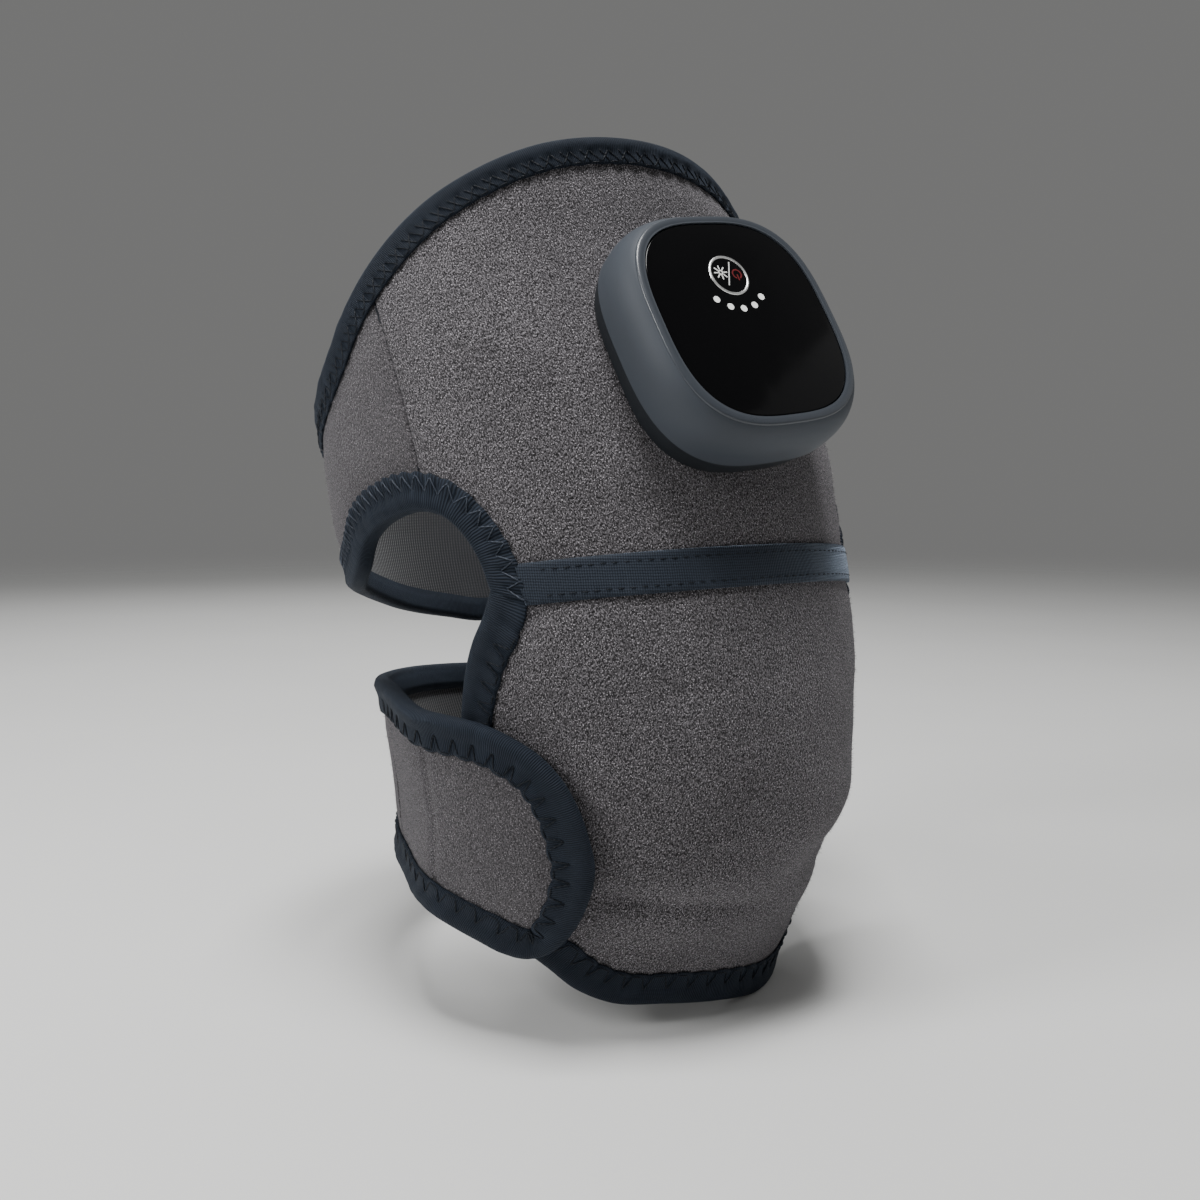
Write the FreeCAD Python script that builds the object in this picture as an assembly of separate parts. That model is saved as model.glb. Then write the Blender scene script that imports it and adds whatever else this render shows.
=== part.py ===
"""Cordless heated and vibrating knee wrap with a push-button controller pod.

Millimetres.  The origin lies on the leg's axis at the level of the knee band, +Z runs up the leg, the
front of the knee faces -Y and the wearer's inner side, seen first from the front left, faces -X.
Fabric is placed by (angle, height, offset): the angle is counted in degrees from the front towards -X,
the height is Z, and the offset is measured outwards from the outer face of the front panel.
"""
import FreeCAD, Part
import math
import os

V = FreeCAD.Vector

# ---------------------------------------------------------------- the leg that the wrap is cut for
# height, half width, front depth, back depth: the wrap's outer face at eight levels of the leg
LEG_STATIONS = [
    (-149.0, 55.0, 58.0, 60.0),
    (-109.0, 57.5, 58.0, 57.0),
    (-69.0, 59.5, 77.5, 52.5),
    (-34.0, 64.5, 80.0, 56.5),
    (6.0, 71.0, 70.0, 67.5),
    (46.0, 72.0, 56.0, 78.5),
    (86.0, 71.0, 33.0, 90.5),
    (126.0, 69.5, 22.0, 102.5),
]

# ---------------------------------------------------------------- outlines, as (angle, height) points
TOP_EDGE = [(0, 110), (23, 106.5), (45, 95), (70, 73), (93, 50.5), (112, 39), (140, 28), (180, 22)]
STRAP_LOWER_EDGE = [(66, 14.2), (77, 12), (84, 8.5), (91, 3), (98, -3.5), (105, -6.5), (114, -8.5),
                    (127, -11.5), (150, -18.5), (180, -25)]
CUTOUT_SIDE = [(55.5, -4.5), (56.3, 3), (59, 9.5), (62, 12.8), (66, 14.2)]
SEAM = [(66, 14.2), (67.5, 35), (69, 55), (70, 73)]
LOWER_SIDE = [(55.5, -4.5), (59, -11), (63, -17), (67.5, -26), (70.5, -35), (72.5, -48), (72, -62),
              (68, -76), (62, -87), (54, -94)]
BOTTOM_EDGE = [(54, -94), (46.5, -99), (39, -104.5), (30, -108.5), (15, -110.5), (0, -113),
               (-18, -116), (-32, -114.5), (-43, -108), (-54, -94)]
STRAP_ROOT = LOWER_SIDE[4:9]
# where the tape bridges the corners at the top and bottom of the lower strap's root
ROOT_TOP_TURN = [(290.2, -30.0), (286.4, -33.4)]
ROOT_BOTTOM_TURN = [(298.4, -88.4), (303.5, -93.6)]

LOWER_STRAP_TOP = [(80, -35), (99, -32.5), (120, -34), (150, -36.5), (180, -39), (230, -38), (289.5, -35)]
LOWER_STRAP_BOTTOM = [(80, -87.5), (99, -85), (130, -82), (180, -81), (230, -83), (298, -87)]
LOWER_TAB_TOP = [(80, -35), (72, -35.3), (64, -36.3), (58, -38.8), (53, -42.3), (49, -47.5),
                 (46, -54.5), (44, -62), (42.8, -68)]
LOWER_TAB_BOTTOM = [(80, -87.5), (72, -89.3), (64, -91.5), (57, -93.8), (51.5, -94.3), (47.5, -92.5),
                    (45, -88.5), (43.5, -83), (42.8, -77)]
UPPER_TAB_TOP = [(246, 38), (254, 42), (262, 46.8), (268, 51), (273, 54), (277, 54.5), (280, 52),
                 (281.7, 46)]
UPPER_TAB_BOTTOM = [(246, -11.4), (254, -8), (262, -3), (268, 1.5), (273, 6), (277, 11.5), (280, 18),
                    (281.7, 26)]

# ---------------------------------------------------------------- fabric
cover_thickness = 1.5
strap_thickness = 3.0
lining_thickness = 0.8
film_thickness = 0.4
foam_depth = 4.1            # extra depth of the padded middle over the thin bound edge
layer_gap = 0.3
edge_fade = 22.0            # how far in from the outline the padding reaches its full depth
fabric_margin = 1.2         # from a bound outline in to the cloth's own edge
seam_gap = 0.15             # half the gap between two cloths that are sewn edge to edge
lining_fade, foam_fade = 8.0, 9.5    # where the lining and the padding start to deepen
foam_margin = 12.0
foam_edge = 0.2             # the padding's thickness at its own edge
film_margin = 24.0
cover_back = -cover_thickness - layer_gap
lining_depth = foam_depth + cover_thickness - lining_thickness + 0.1

binding_tape = 0.7
binding_gap = 0.15
binding_front = 8.5         # tape seen on the outer face
binding_back = 7.0
tape_spacing = 2.2          # distance between the points that a tape is drawn through
strap_column = 3.0
strap_reach = 36.0          # more than half the widest strap
fold_depth = 12.0
rim_spacing = 3.0           # distance between the places where an outline is read
heading_step = 0.25
drawn_in_slack = 0.6        # how much nearer to the outline than asked a drawn-in point may lie
flat_corner = 0.25          # sine of the turn below which a corner counts as straight
seam_start = 4.0            # over this height a bound edge turns into a seam
fold_search = 30.0          # how far from a fold, in degrees, its plane is looked for

band_width = 9.5
band_thickness = 0.9
band_drop = 3.5             # how far the band sinks from the front to its ends
band_end = 47.0             # angle of each end
band_centre = 1.0

strap_lift = 5.0            # a tab's outer face above the panel that it fastens on
hook_thickness = 0.85
lower_tab_hinge = 80.0
lower_strap_hinge = 132.0
upper_strap_hinge = 210.0
upper_tab_hinge = 246.0
wing_end = 104.0
wing_corner_angle = 7.0
lower_lift_start, lower_lift_end = 76.0, 104.0
upper_lift_start, upper_lift_end = 228.0, 253.0

# ---------------------------------------------------------------- controller pod
pod_centre = V(-0.5, -67.5, 60.0)
pod_yaw, pod_pitch, pod_roll = -6.0, 29.0, 8.0
panel_half_width, panel_half_height = 24.9, 27.1
pod_squareness = 2.95       # exponent of the rounded square
panel_thickness = 1.5
panel_gap = 0.15
rim_height = 0.25
deck_thickness = 2.0
wall = 2.0
parting_depth = 13.5
# how far the housing stands out past the panel, and at what depth
FRONT_BULGE = [(1.1, -rim_height), (2.2, 0.35), (3.4, 1.7), (4.6, 4.2), (5.3, 7.5), (5.3, parting_depth)]
BACK_BULGE = [(5.0, parting_depth), (4.6, 16.0), (3.6, 20.0), (2.2, 28.0)]
deep = BACK_BULGE[-1][1] + 12.0     # where holes through the cloth under the pod start, behind its face
floor_depth = 15.2
saddle_gap = 0.4            # between the pod's underside and the cover

button_height = 11.85       # ring centre above the panel's centre
ring_radius = 5.3
ring_width = 0.75
ring_proud = 0.15
button_travel = 0.5
sliding_gap = 0.05
button_cap_thickness = 1.3
stem_radius = 2.6
clip_thickness = 0.5
clip_radius = 4.2
mark_thickness = 0.05

light_radius = 0.9
light_circle = 9.5          # the lights' distance from the ring's centre
LIGHT_ANGLES = [-46.5, -23.0, 0.0, 23.0, 46.5]

board_depth = 8.6           # top face of the circuit board below the panel's face
board_thickness = 1.2
board_half_width, board_half_height = panel_half_width - 0.9, panel_half_height - 1.1
post_radius = 3.0
front_post_radius = 2.6
post_x, post_y = panel_half_width - 4.9, panel_half_height - 6.1
post_split = 11.2
screw_gap = 0.02            # between a screw and the post that it is driven into
screw_radius = 1.0
screw_head_radius = 1.9
screw_head_height = 1.2
clamp_x, clamp_y = panel_half_width - 4.9, panel_half_height - 5.1
clamp_screw_radius = 1.1
clamp_head_radius = 2.2
clamp_thickness = 1.2
screw_end_gap = 1.2
clamp_plate_half = V(panel_half_width - 0.9, panel_half_height - 1.1, 0)
battery_gap = 1.5           # between the battery and the posts on its two sides
battery_width = 2 * (post_x - post_radius - battery_gap)
battery_height = 2 * (clamp_y - post_radius - battery_gap)
battery_thickness = 4.6
socket_width, socket_height, socket_length = 8.9, 3.2, 7.5
socket_gap = 0.2
grommet_x, grommet_y = 9.5, 6.1 - panel_half_height
grommet_radius = 2.8
cable_hole_radius = 1.6

# ---------------------------------------------------------------- vibration motors
motor_angle, motor_height = 38.0, -29.0
motor_radius = 10.0
motor_thickness = 3.3
motor_top = -2.8            # offset of the lid's outer face
motor_wall = 0.4
motor_shaft_radius = 0.8
rotor_radius = 8.6
rotor_thickness = 1.4
rotor_gap = 0.4
running_gap = 0.05
cable_width, cable_thickness = 2.6, 0.8
cable_offset = -2.1         # offset of the cable's outer face
heater_cable_drop = 22.0
cable_spread = 3.6          # how far each motor's cable leaves beside the heater's, in degrees
cable_end_gap = 2.0         # between the grommet and the cables' ends


# ================================================================ curves
def hermite(stops, values, s):
    """A smooth curve through the values at the stops, read at s."""
    last = len(stops) - 1
    i = 0
    while i < last - 1 and s > stops[i + 1]:
        i += 1
    slopes = []
    for k in (i, i + 1):
        before, after = max(k - 1, 0), min(k + 1, last)
        rise = (values[after] - values[before]) / (stops[after] - stops[before])
        if before < k < after:
            back = (values[k] - values[before]) / (stops[k] - stops[before])
            ahead = (values[after] - values[k]) / (stops[after] - stops[k])
            share = (stops[k] - stops[before]) / (stops[after] - stops[before])
            rise = back * (1 - share) + ahead * share
        slopes.append(rise)
    span = stops[i + 1] - stops[i]
    t = (s - stops[i]) / span
    t2, t3 = t * t, t * t * t
    return ((2 * t3 - 3 * t2 + 1) * values[i] + (t3 - 2 * t2 + t) * span * slopes[0]
            + (3 * t2 - 2 * t3) * values[i + 1] + (t3 - t2) * span * slopes[1])


def smooth_step(value, start, end):
    t = min(max((value - start) / (end - start), 0.0), 1.0)
    return t * t * (3 - 2 * t)


def leg_form(height):
    levels = [station[0] for station in LEG_STATIONS]
    return [hermite(levels, [station[k] for station in LEG_STATIONS], height) for k in (1, 2, 3)]


def on_leg(angle, height, offset):
    half_width, front, back = leg_form(height)
    a = math.radians(angle)
    half_depth = (front + back) / 2 + offset
    return V(-(half_width + offset) * math.sin(a), (back - front) / 2 - half_depth * math.cos(a), height)


def mm_per_degree(angle, height):
    half_width, front, back = leg_form(height)
    a = math.radians(angle)
    return math.radians(math.hypot(half_width * math.cos(a), (front + back) / 2 * math.sin(a)))


class Outline:
    """A line through runs of (angle, height) points, smooth along each run and read from 0 to 1."""

    def __init__(self, *runs):
        self.runs = []
        self.length = 0.0
        for points in runs:
            stops = [0.0]
            for a, b in zip(points, points[1:]):
                across = (b[0] - a[0]) * mm_per_degree((a[0] + b[0]) / 2, (a[1] + b[1]) / 2)
                stops.append(stops[-1] + math.hypot(across, b[1] - a[1]))
            self.runs.append((self.length, stops, points))
            self.length += stops[-1]

    def __call__(self, t):
        s = t * self.length
        start, stops, points = [run for run in self.runs if run[0] <= max(s, 0.0)][-1]
        return tuple(hermite(stops, [p[k] for p in points], s - start) for k in (0, 1))


def height_on(points, angle):
    return hermite([p[0] for p in points], [p[1] for p in points], angle)


def fold(angle):
    """The angle from the front on whichever side it lies."""
    return angle if angle <= 180 else 360 - angle


def mirrored(points):
    return [(-a, h) for a, h in points]


def other_way(points):
    return list(reversed(points))


def whole_turn(points):
    return [(a + 360, h) for a, h in points]


# ================================================================ fabric solids
def knots(count, degree):
    inner = count - degree
    return list(range(inner + 1)), [degree + 1] + [1] * (inner - 1) + [degree + 1]


def skin(rows):
    """A smooth surface hung on a net of points; a direction with two points stays straight."""
    degree_u = min(3, len(rows) - 1)
    degree_v = min(3, len(rows[0]) - 1)
    knots_u, counts_u = knots(len(rows), degree_u)
    knots_v, counts_v = knots(len(rows[0]), degree_v)
    surface = Part.BSplineSurface()
    surface.buildFromPolesMultsKnots(rows, counts_u, counts_v, knots_u, knots_v, False, False,
                                     degree_u, degree_v)
    return surface


def closed_solid(faces):
    shell = Part.Shell(faces)
    shell.sewShape()
    solid = Part.Solid(shell)
    if solid.Volume < 0:
        solid.reverse()
    return solid


def heading(line, t):
    """A line's direction at a share of its length, in mm, and the mm per degree there."""
    step = heading_step / line.length
    a0, h0 = line(max(t - step, 0))
    a1, h1 = line(min(t + step, 1))
    scale = mm_per_degree(*line(t))
    return V((a1 - a0) * scale, h1 - h0, 0).normalize(), scale


def inwards(line, t, turn):
    """The direction into the cloth, which lies on the left of the travel where turn is 1."""
    along, scale = heading(line, t)
    return V(-along.y, along.x, 0) * turn


def shifted(line, t, shift):
    angle, height = line(t)
    return angle + shift.x / mm_per_degree(angle, height), height + shift.y


def corner_shift(first, first_distance, second, second_distance):
    """The shift that moves a corner in from both of its edges; nearly straight corners just move in."""
    turn = first.x * second.y - first.y * second.x
    if abs(turn) < flat_corner:
        return (first * first_distance + second * second_distance) * 0.5
    return V(first_distance * second.y - second_distance * first.y,
             first.x * second_distance - second.x * first_distance, 0) * (1 / turn)


def all_across(v):
    return 0.0


def to_the_end(v):
    return 1.0


class Patch:
    """A four-sided piece of cloth between a bottom, top, right and left outline."""

    def __init__(self, bottom, top, right, left):
        self.bottom, self.top, self.right, self.left = bottom, top, right, left
        self.corners = bottom(0), bottom(1), top(0), top(1)
        self.rim = []
        for line in (bottom, top, right, left):
            count = max(1, round(line.length / rim_spacing))
            self.rim += [line(i / count) for i in range(count + 1)]

    def at(self, u, v):
        b, t, r, l = self.bottom(u), self.top(u), self.right(v), self.left(v)
        shares = ((1 - u) * (1 - v), u * (1 - v), (1 - u) * v, u * v)
        return tuple((1 - v) * b[k] + v * t[k] + (1 - u) * r[k] + u * l[k]
                     - sum(share * corner[k] for share, corner in zip(shares, self.corners))
                     for k in (0, 1))

    def width(self, v):
        return Outline([self.at(k / 8, v) for k in range(9)]).length

    def from_edge(self, angle, height):
        """How far a place on the cloth is from the nearest outline, in mm."""
        scale = mm_per_degree(angle, height)
        return min(math.hypot((a - angle) * scale, h - height) for a, h in self.rim)

    def drawn_in(self, bottom, top, right, left):
        """The cloth with its outlines moved in by distances that are functions of the height."""
        def moved(line, turn, distance, first, last):
            points = [first]
            count = round(line.length / rim_spacing)
            for i in range(1, count):
                gap = distance(line(i / count)[1])
                point = shifted(line, i / count, inwards(line, i / count, turn) * gap)
                if self.from_edge(*point) > gap - drawn_in_slack:
                    points.append(point)
            return Outline(points + [last])

        def corner(level_line, level_turn, level_distance, level_end,
                   side_line, side_turn, side_distance, side_end):
            height = level_line(level_end)[1]
            shift = corner_shift(inwards(level_line, level_end, level_turn), level_distance(height),
                                 inwards(side_line, side_end, side_turn), side_distance(height))
            return shifted(level_line, level_end, shift)
        low_right = corner(self.bottom, 1, bottom, 0, self.right, -1, right, 0)
        low_left = corner(self.bottom, 1, bottom, 1, self.left, 1, left, 0)
        top_right = corner(self.top, -1, top, 0, self.right, -1, right, 1)
        top_left = corner(self.top, -1, top, 1, self.left, 1, left, 1)
        return Patch(moved(self.bottom, 1, bottom, low_right, low_left),
                     moved(self.top, -1, top, top_right, top_left),
                     moved(self.right, -1, right, low_right, top_right),
                     moved(self.left, 1, left, low_left, top_left))

    def fold_share(self, v, hinge, frame, lift):
        """How far across the cloth, as a share of its width, the fold's plane cuts it at v."""
        middle, along, out, around = frame

        def past(u):
            angle, height = self.at(u, v)
            if abs(angle - hinge) > fold_search:
                return angle - hinge
            return (on_leg(angle, height, lift(angle) - strap_thickness / 2) - middle).dot(around)
        low, high = 0.0, 1.0
        for step in range(40):
            share = (low + high) / 2
            if (past(share) > 0) == (past(0.0) < 0):
                high = share
            else:
                low = share
        return share

    def solid(self, low, high, columns, rows, start=all_across, end=to_the_end):
        """The cloth between two offsets, each a function of (angle, height).

        Its right and left edges lie at two shares of the width, each a function of v."""
        nets = [], []
        for i in range(columns + 1):
            for net in nets:
                net.append([])
            for j in range(rows + 1):
                v = j / rows
                u = start(v) + (end(v) - start(v)) * i / columns
                angle, height = self.at(u, v)
                for net, offset in zip(nets, (low, high)):
                    net[-1].append(on_leg(angle, height, offset(angle, height)))
        inner, outer = skin(nets[0]), skin(nets[1])
        u0, u1, v0, v1 = outer.bounds()
        faces = [inner.toShape(), outer.toShape()]
        faces += [Part.makeRuledSurface(outer.uIso(u).toShape(), inner.uIso(u).toShape()) for u in (u0, u1)]
        faces += [Part.makeRuledSurface(outer.vIso(v).toShape(), inner.vIso(v).toShape()) for v in (v0, v1)]
        return closed_solid(faces)


def four_sided(low, high):
    """A patch between two runs of points, with straight sides."""
    return Patch(Outline(low), Outline(high), Outline([low[0], high[0]]), Outline([low[-1], high[-1]]))


def level(offset):
    return lambda angle, height: offset


def bound(height):
    """A bound edge's distance in from the outline."""
    return fabric_margin


def sewn(height):
    """A sewn edge's distance in from the seam."""
    return seam_gap


def flat_lift(angle):
    return 0.0


def lower_lift(angle):
    return strap_lift * (1 - smooth_step(angle, lower_lift_start, lower_lift_end))


def upper_lift(angle):
    return strap_lift * smooth_step(angle, upper_lift_start, upper_lift_end)


def tape_section():
    """The folded tape's corners as (distance in from the edge, offset from the cloth's outer face)."""
    front_in, front_out = binding_gap, binding_gap + binding_tape
    back_in = -strap_thickness - binding_gap
    back_out = back_in - binding_tape
    return [(binding_front, front_in), (binding_front, front_out), (0, front_out), (0, back_out),
            (binding_back, back_out), (binding_back, back_in), (binding_tape, back_in),
            (binding_tape, front_in)]


def binding(points, lift):
    """Tape folded over an edge, with the cloth on the left of the travel."""
    line = Outline(points)
    count = round(line.length / tape_spacing)
    lanes = [[] for corner in tape_section()]
    first, last = seam_gap / line.length, 1 - seam_gap / line.length
    for i in range(count + 1):
        t = first + (last - first) * i / count
        across = inwards(line, t, 1)
        for lane, (inset, offset) in zip(lanes, tape_section()):
            angle, height = shifted(line, t, across * inset)
            lane.append(on_leg(angle, height, offset + lift(angle)))
    faces = [skin([lanes[k - 1], lanes[k]]).toShape() for k in range(len(lanes))]
    for end_index in (0, -1):
        c = [lane[end_index] for lane in lanes]
        for a, b, d, e in ((0, 1, 7, 2), (7, 2, 6, 3), (6, 3, 5, 4)):
            faces.append(Part.makeRuledSurface(Part.makeLine(c[a], c[b]), Part.makeLine(c[d], c[e])))
    return closed_solid(faces)


def strip(points, width, low, high, spacing=3.0):
    """A flat strip of the given width along a line of (angle, height) points."""
    line = Outline(points)
    count = max(4, round(line.length / spacing))
    nets = [], []
    for i in range(count + 1):
        t = i / count
        across = inwards(line, t, 1) * (width / 2)
        edges = shifted(line, t, across), shifted(line, t, across * -1)
        for net, offset in zip(nets, (low, high)):
            net.append([on_leg(angle, height, offset) for angle, height in edges])
    inner, outer = skin(nets[0]), skin(nets[1])
    u0, u1, v0, v1 = outer.bounds()
    faces = [inner.toShape(), outer.toShape()]
    faces += [Part.makeRuledSurface(outer.uIso(u).toShape(), inner.uIso(u).toShape()) for u in (u0, u1)]
    faces += [Part.makeRuledSurface(outer.vIso(v).toShape(), inner.vIso(v).toShape()) for v in (v0, v1)]
    return closed_solid(faces)


# ================================================================ the cloth pieces' outlines
def panel_side():
    return other_way(LOWER_SIDE), CUTOUT_SIDE, SEAM


def panel_patch():
    top = mirrored(other_way(TOP_EDGE[:4])) + TOP_EDGE[1:4]
    right = Outline(*(mirrored(run) for run in panel_side()))
    return Patch(Outline(other_way(BOTTOM_EDGE)), Outline(top), right, Outline(*panel_side()))


def edge_points(points, start, end, count):
    """Points along an edge that is given on one side of the leg, for any run of angles."""
    return [(a, height_on(points, fold(a)))
            for a in (start + (end - start) * i / count for i in range(count + 1))]


def between(points, start, end, count):
    return [(a, height_on(points, a)) for a in (start + (end - start) * i / count for i in range(count + 1))]


def upper_strap_edges():
    """The whole upper strap's lower and top edges, from its seam on the panel to the tab's tip."""
    low = edge_points(STRAP_LOWER_EDGE, SEAM[0][0], upper_tab_hinge, 18) + UPPER_TAB_BOTTOM[1:]
    top = edge_points(TOP_EDGE, SEAM[-1][0], upper_tab_hinge, 18) + UPPER_TAB_TOP[1:]
    return low, top


def lower_strap_edges():
    """The whole lower strap's lower and top edges, from the tab's tip to its root on the panel."""
    low = other_way(LOWER_TAB_BOTTOM) + between(LOWER_STRAP_BOTTOM, *lower_run(LOWER_STRAP_BOTTOM))[1:]
    top = other_way(LOWER_TAB_TOP) + between(LOWER_STRAP_TOP, *lower_run(LOWER_STRAP_TOP))[1:]
    return low, top


def lower_run(points):
    return points[0][0], points[-1][0], 18


def wing_edges():
    """The wing's lower edge, rounded end and top edge, on the side where angles are positive."""
    low = edge_points(STRAP_LOWER_EDGE, SEAM[0][0], wing_end - wing_corner_angle, 5)
    top = edge_points(TOP_EDGE, SEAM[-1][0], wing_end - wing_corner_angle, 4)
    low_z, top_z = low[-1][1], top[-1][1]
    end = [low[-1], (wing_end - 1.5, low_z + 6), (wing_end, low_z + 14), (wing_end, top_z - 14),
           (wing_end - 1.5, top_z - 6), top[-1]]
    return low, end, top


def wing_patch():
    low, end, top = (mirrored(points) for points in wing_edges())
    return Patch(Outline(other_way(low)), Outline(other_way(top)), Outline(end), Outline(mirrored(SEAM)))


def fold_frame(angle, low, high, offset):
    """A straight fold across a strap: its middle, and the directions along it, outwards and around."""
    foot, head = on_leg(angle, low, offset), on_leg(angle, high, offset)
    along = (head - foot).normalize()
    around = on_leg(angle + 1, (low + high) / 2, offset) - on_leg(angle - 1, (low + high) / 2, offset)
    out = along.cross(around).normalize()
    return (foot + head) * 0.5, along, out, out.cross(along)


def lower_fold(angle):
    return fold_frame(angle, height_on(LOWER_STRAP_BOTTOM, angle), height_on(LOWER_STRAP_TOP, angle),
                      lower_lift(angle))


def upper_fold(angle):
    return fold_frame(angle, height_on(STRAP_LOWER_EDGE, fold(angle)), height_on(TOP_EDGE, fold(angle)),
                      upper_lift(angle))


def fold_slot(frame):
    """The thin gap that lets a strap open at a fold."""
    middle, along, out, around = frame
    height, depth, width = 2 * strap_reach, 2 * fold_depth, 2 * seam_gap
    slot = Part.makeBox(width, depth, height, V(-width / 2, -depth / 2, -height / 2))
    slot.Placement = FreeCAD.Placement(middle, FreeCAD.Rotation(around, out * -1, along, "ZXY"))
    return slot


def split_at_folds(shape, frames, probes):
    """Cuts a tape at the folds and returns the piece nearest to each probe point."""
    for frame in frames:
        shape = shape.cut(fold_slot(frame))
    return [min(shape.Solids, key=lambda piece: piece.distToShape(Part.Vertex(probe))[0])
            for probe in probes]


# ================================================================ pod helpers
def pod_placement():
    yaw, pitch, roll = (math.radians(a) for a in (pod_yaw, pod_pitch, pod_roll))
    out = V(math.sin(yaw) * math.cos(pitch), -math.cos(yaw) * math.cos(pitch), math.sin(pitch))
    up = V(-math.sin(yaw) * math.sin(pitch), math.cos(yaw) * math.sin(pitch), math.cos(pitch))
    right = up.cross(out)
    x = right * math.cos(roll) + up * math.sin(roll)
    y = up * math.cos(roll) - right * math.sin(roll)
    return FreeCAD.Placement(pod_centre, FreeCAD.Rotation(x, y, out, "ZXY"))


POD = pod_placement()


def on_pod(shape):
    """Moves a shape from the pod's own frame, x right, y up, z out of the face, onto the wrap."""
    shape.Placement = POD.multiply(shape.Placement)
    return shape


def rounded_square(half_width, half_height, z, count=48):
    points = []
    for i in range(count):
        a = 2 * math.pi * i / count
        x, y = math.cos(a), math.sin(a)
        reach = ((abs(x) / half_width) ** pod_squareness
                 + (abs(y) / half_height) ** pod_squareness) ** (-1 / pod_squareness)
        points.append(V(x * reach, y * reach, z))
    curve = Part.BSplineCurve()
    curve.interpolate(points, PeriodicFlag=True)
    return Part.Wire([curve.toShape()])


def pod_plate(grow, low, high):
    """A plate of the panel's outline, grown all round, between two heights."""
    wire = rounded_square(panel_half_width + grow, panel_half_height + grow, low)
    return Part.Face(wire).extrude(V(0, 0, high - low))


def pod_loft(stations, grow=0.0):
    """A body through (stand-out, depth) stations of the housing's side."""
    wires = [rounded_square(panel_half_width + out + grow, panel_half_height + out + grow, -depth)
             for out, depth in stations]
    return Part.makeLoft(wires, True, False)


def rod(x, y, radius, low, high):
    return Part.makeCylinder(radius, high - low, V(x, y, low))


def block(width, height, depth, x, y, low):
    return Part.makeBox(width, height, depth, V(x - width / 2, y - height / 2, low))


def corner_posts():
    return [(sx * post_x, sy * post_y) for sx in (-1, 1) for sy in (-1, 1)]


def clamp_points():
    return [(clamp_x, 0), (-clamp_x, 0), (0, clamp_y), (0, -clamp_y)]


def light_points():
    turns = [math.radians(a) for a in LIGHT_ANGLES]
    return [(light_circle * math.sin(turn), button_height - light_circle * math.cos(turn)) for turn in turns]


def leg_block(low, high):
    """A thick piece of the leg's front under the pod, between two offsets, as a cutting tool."""
    side = 50
    foot = pod_centre.z - panel_half_height - 22.9
    head = pod_centre.z + panel_half_height + 20.9
    area = four_sided([(-side, foot), (0, foot), (side, foot)], [(-side, head), (0, head), (side, head)])
    return area.solid(level(low), level(high), 24, 24)


# ================================================================ pod pieces
def front_housing():
    body = pod_loft(FRONT_BULGE)
    deck_top = -panel_thickness
    deck_bottom = deck_top - deck_thickness
    body = body.cut(pod_plate(panel_gap, deck_top, rim_height + 1))
    inside = [(out, depth) for out, depth in FRONT_BULGE if depth > -deck_bottom]
    inside = [(inside[0][0], -deck_bottom)] + inside[:-1] + [(inside[-1][0], parting_depth + 1)]
    body = body.cut(pod_loft(inside, -wall))
    for x, y in corner_posts():
        post = rod(x, y, front_post_radius, -post_split, deck_bottom + 0.5)
        body = body.fuse(post)
        body = body.cut(rod(x, y, screw_radius + screw_gap, -post_split - 1, deck_bottom - 1))
    body = body.cut(rod(0, button_height, stem_radius + sliding_gap, deck_bottom - 1, deck_top + 1))
    for x, y in light_points():
        body = body.cut(rod(x, y, light_radius + sliding_gap, deck_bottom - 1, deck_top + 1))
    return body.cut(socket_slot())


def socket_slot():
    width, height = socket_width + 2 * socket_gap, socket_height + 2 * socket_gap
    low = -board_depth - socket_gap
    slot = Part.makeBox(width, 20, height, V(-width / 2, 20, low))
    return slot.makeFillet(height / 2 - 0.05, [e for e in slot.Edges if abs(e.tangentAt(0).y) > 0.9])


def back_housing():
    body = pod_loft(BACK_BULGE).cut(pod_leg_block(-deep, saddle_gap))
    inside = [(BACK_BULGE[0][0], parting_depth - 1), (BACK_BULGE[1][0], floor_depth)]
    body = body.cut(pod_loft(inside, -wall))
    for x, y in corner_posts():
        body = body.fuse(rod(x, y, post_radius, -floor_depth - 0.5, -post_split))
    for x, y in clamp_points():
        body = body.fuse(rod(x, y, post_radius, -floor_depth - 0.5, -post_split))
    for x, y in corner_posts():
        body = body.cut(rod(x, y, screw_radius + screw_gap, -deep, -post_split + 1))
        body = body.cut(rod(x, y, screw_head_radius + 0.1, -deep, -floor_depth - 0.4))
    for x, y in clamp_points():
        body = body.cut(rod(x, y, clamp_screw_radius + screw_gap, -deep, -post_split - 1.0))
    return body.cut(rod(grommet_x, grommet_y, grommet_radius + 0.05, -deep, -floor_depth + 1))


def pod_leg_block(low, high):
    """The leg's front, carried into the pod's own frame."""
    shape = leg_block(low, high)
    return shape.transformGeometry(POD.inverse().toMatrix())


def touch_panel():
    body = pod_plate(0, -panel_thickness, 0)
    hole = ring_radius + ring_width / 2 + 0.03
    body = body.cut(rod(0, button_height, hole, -panel_thickness - 1, 1))
    for x, y in light_points():
        body = body.cut(rod(x, y, light_radius + sliding_gap, -panel_thickness - 1, 1))
    return body


def button_bezel_ring():
    outer = rod(0, button_height, ring_radius + ring_width / 2, -panel_thickness, ring_proud)
    return outer.cut(rod(0, button_height, ring_radius - ring_width / 2, -panel_thickness - 1, 1))


def button_top():
    return ring_proud - 0.05


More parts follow.
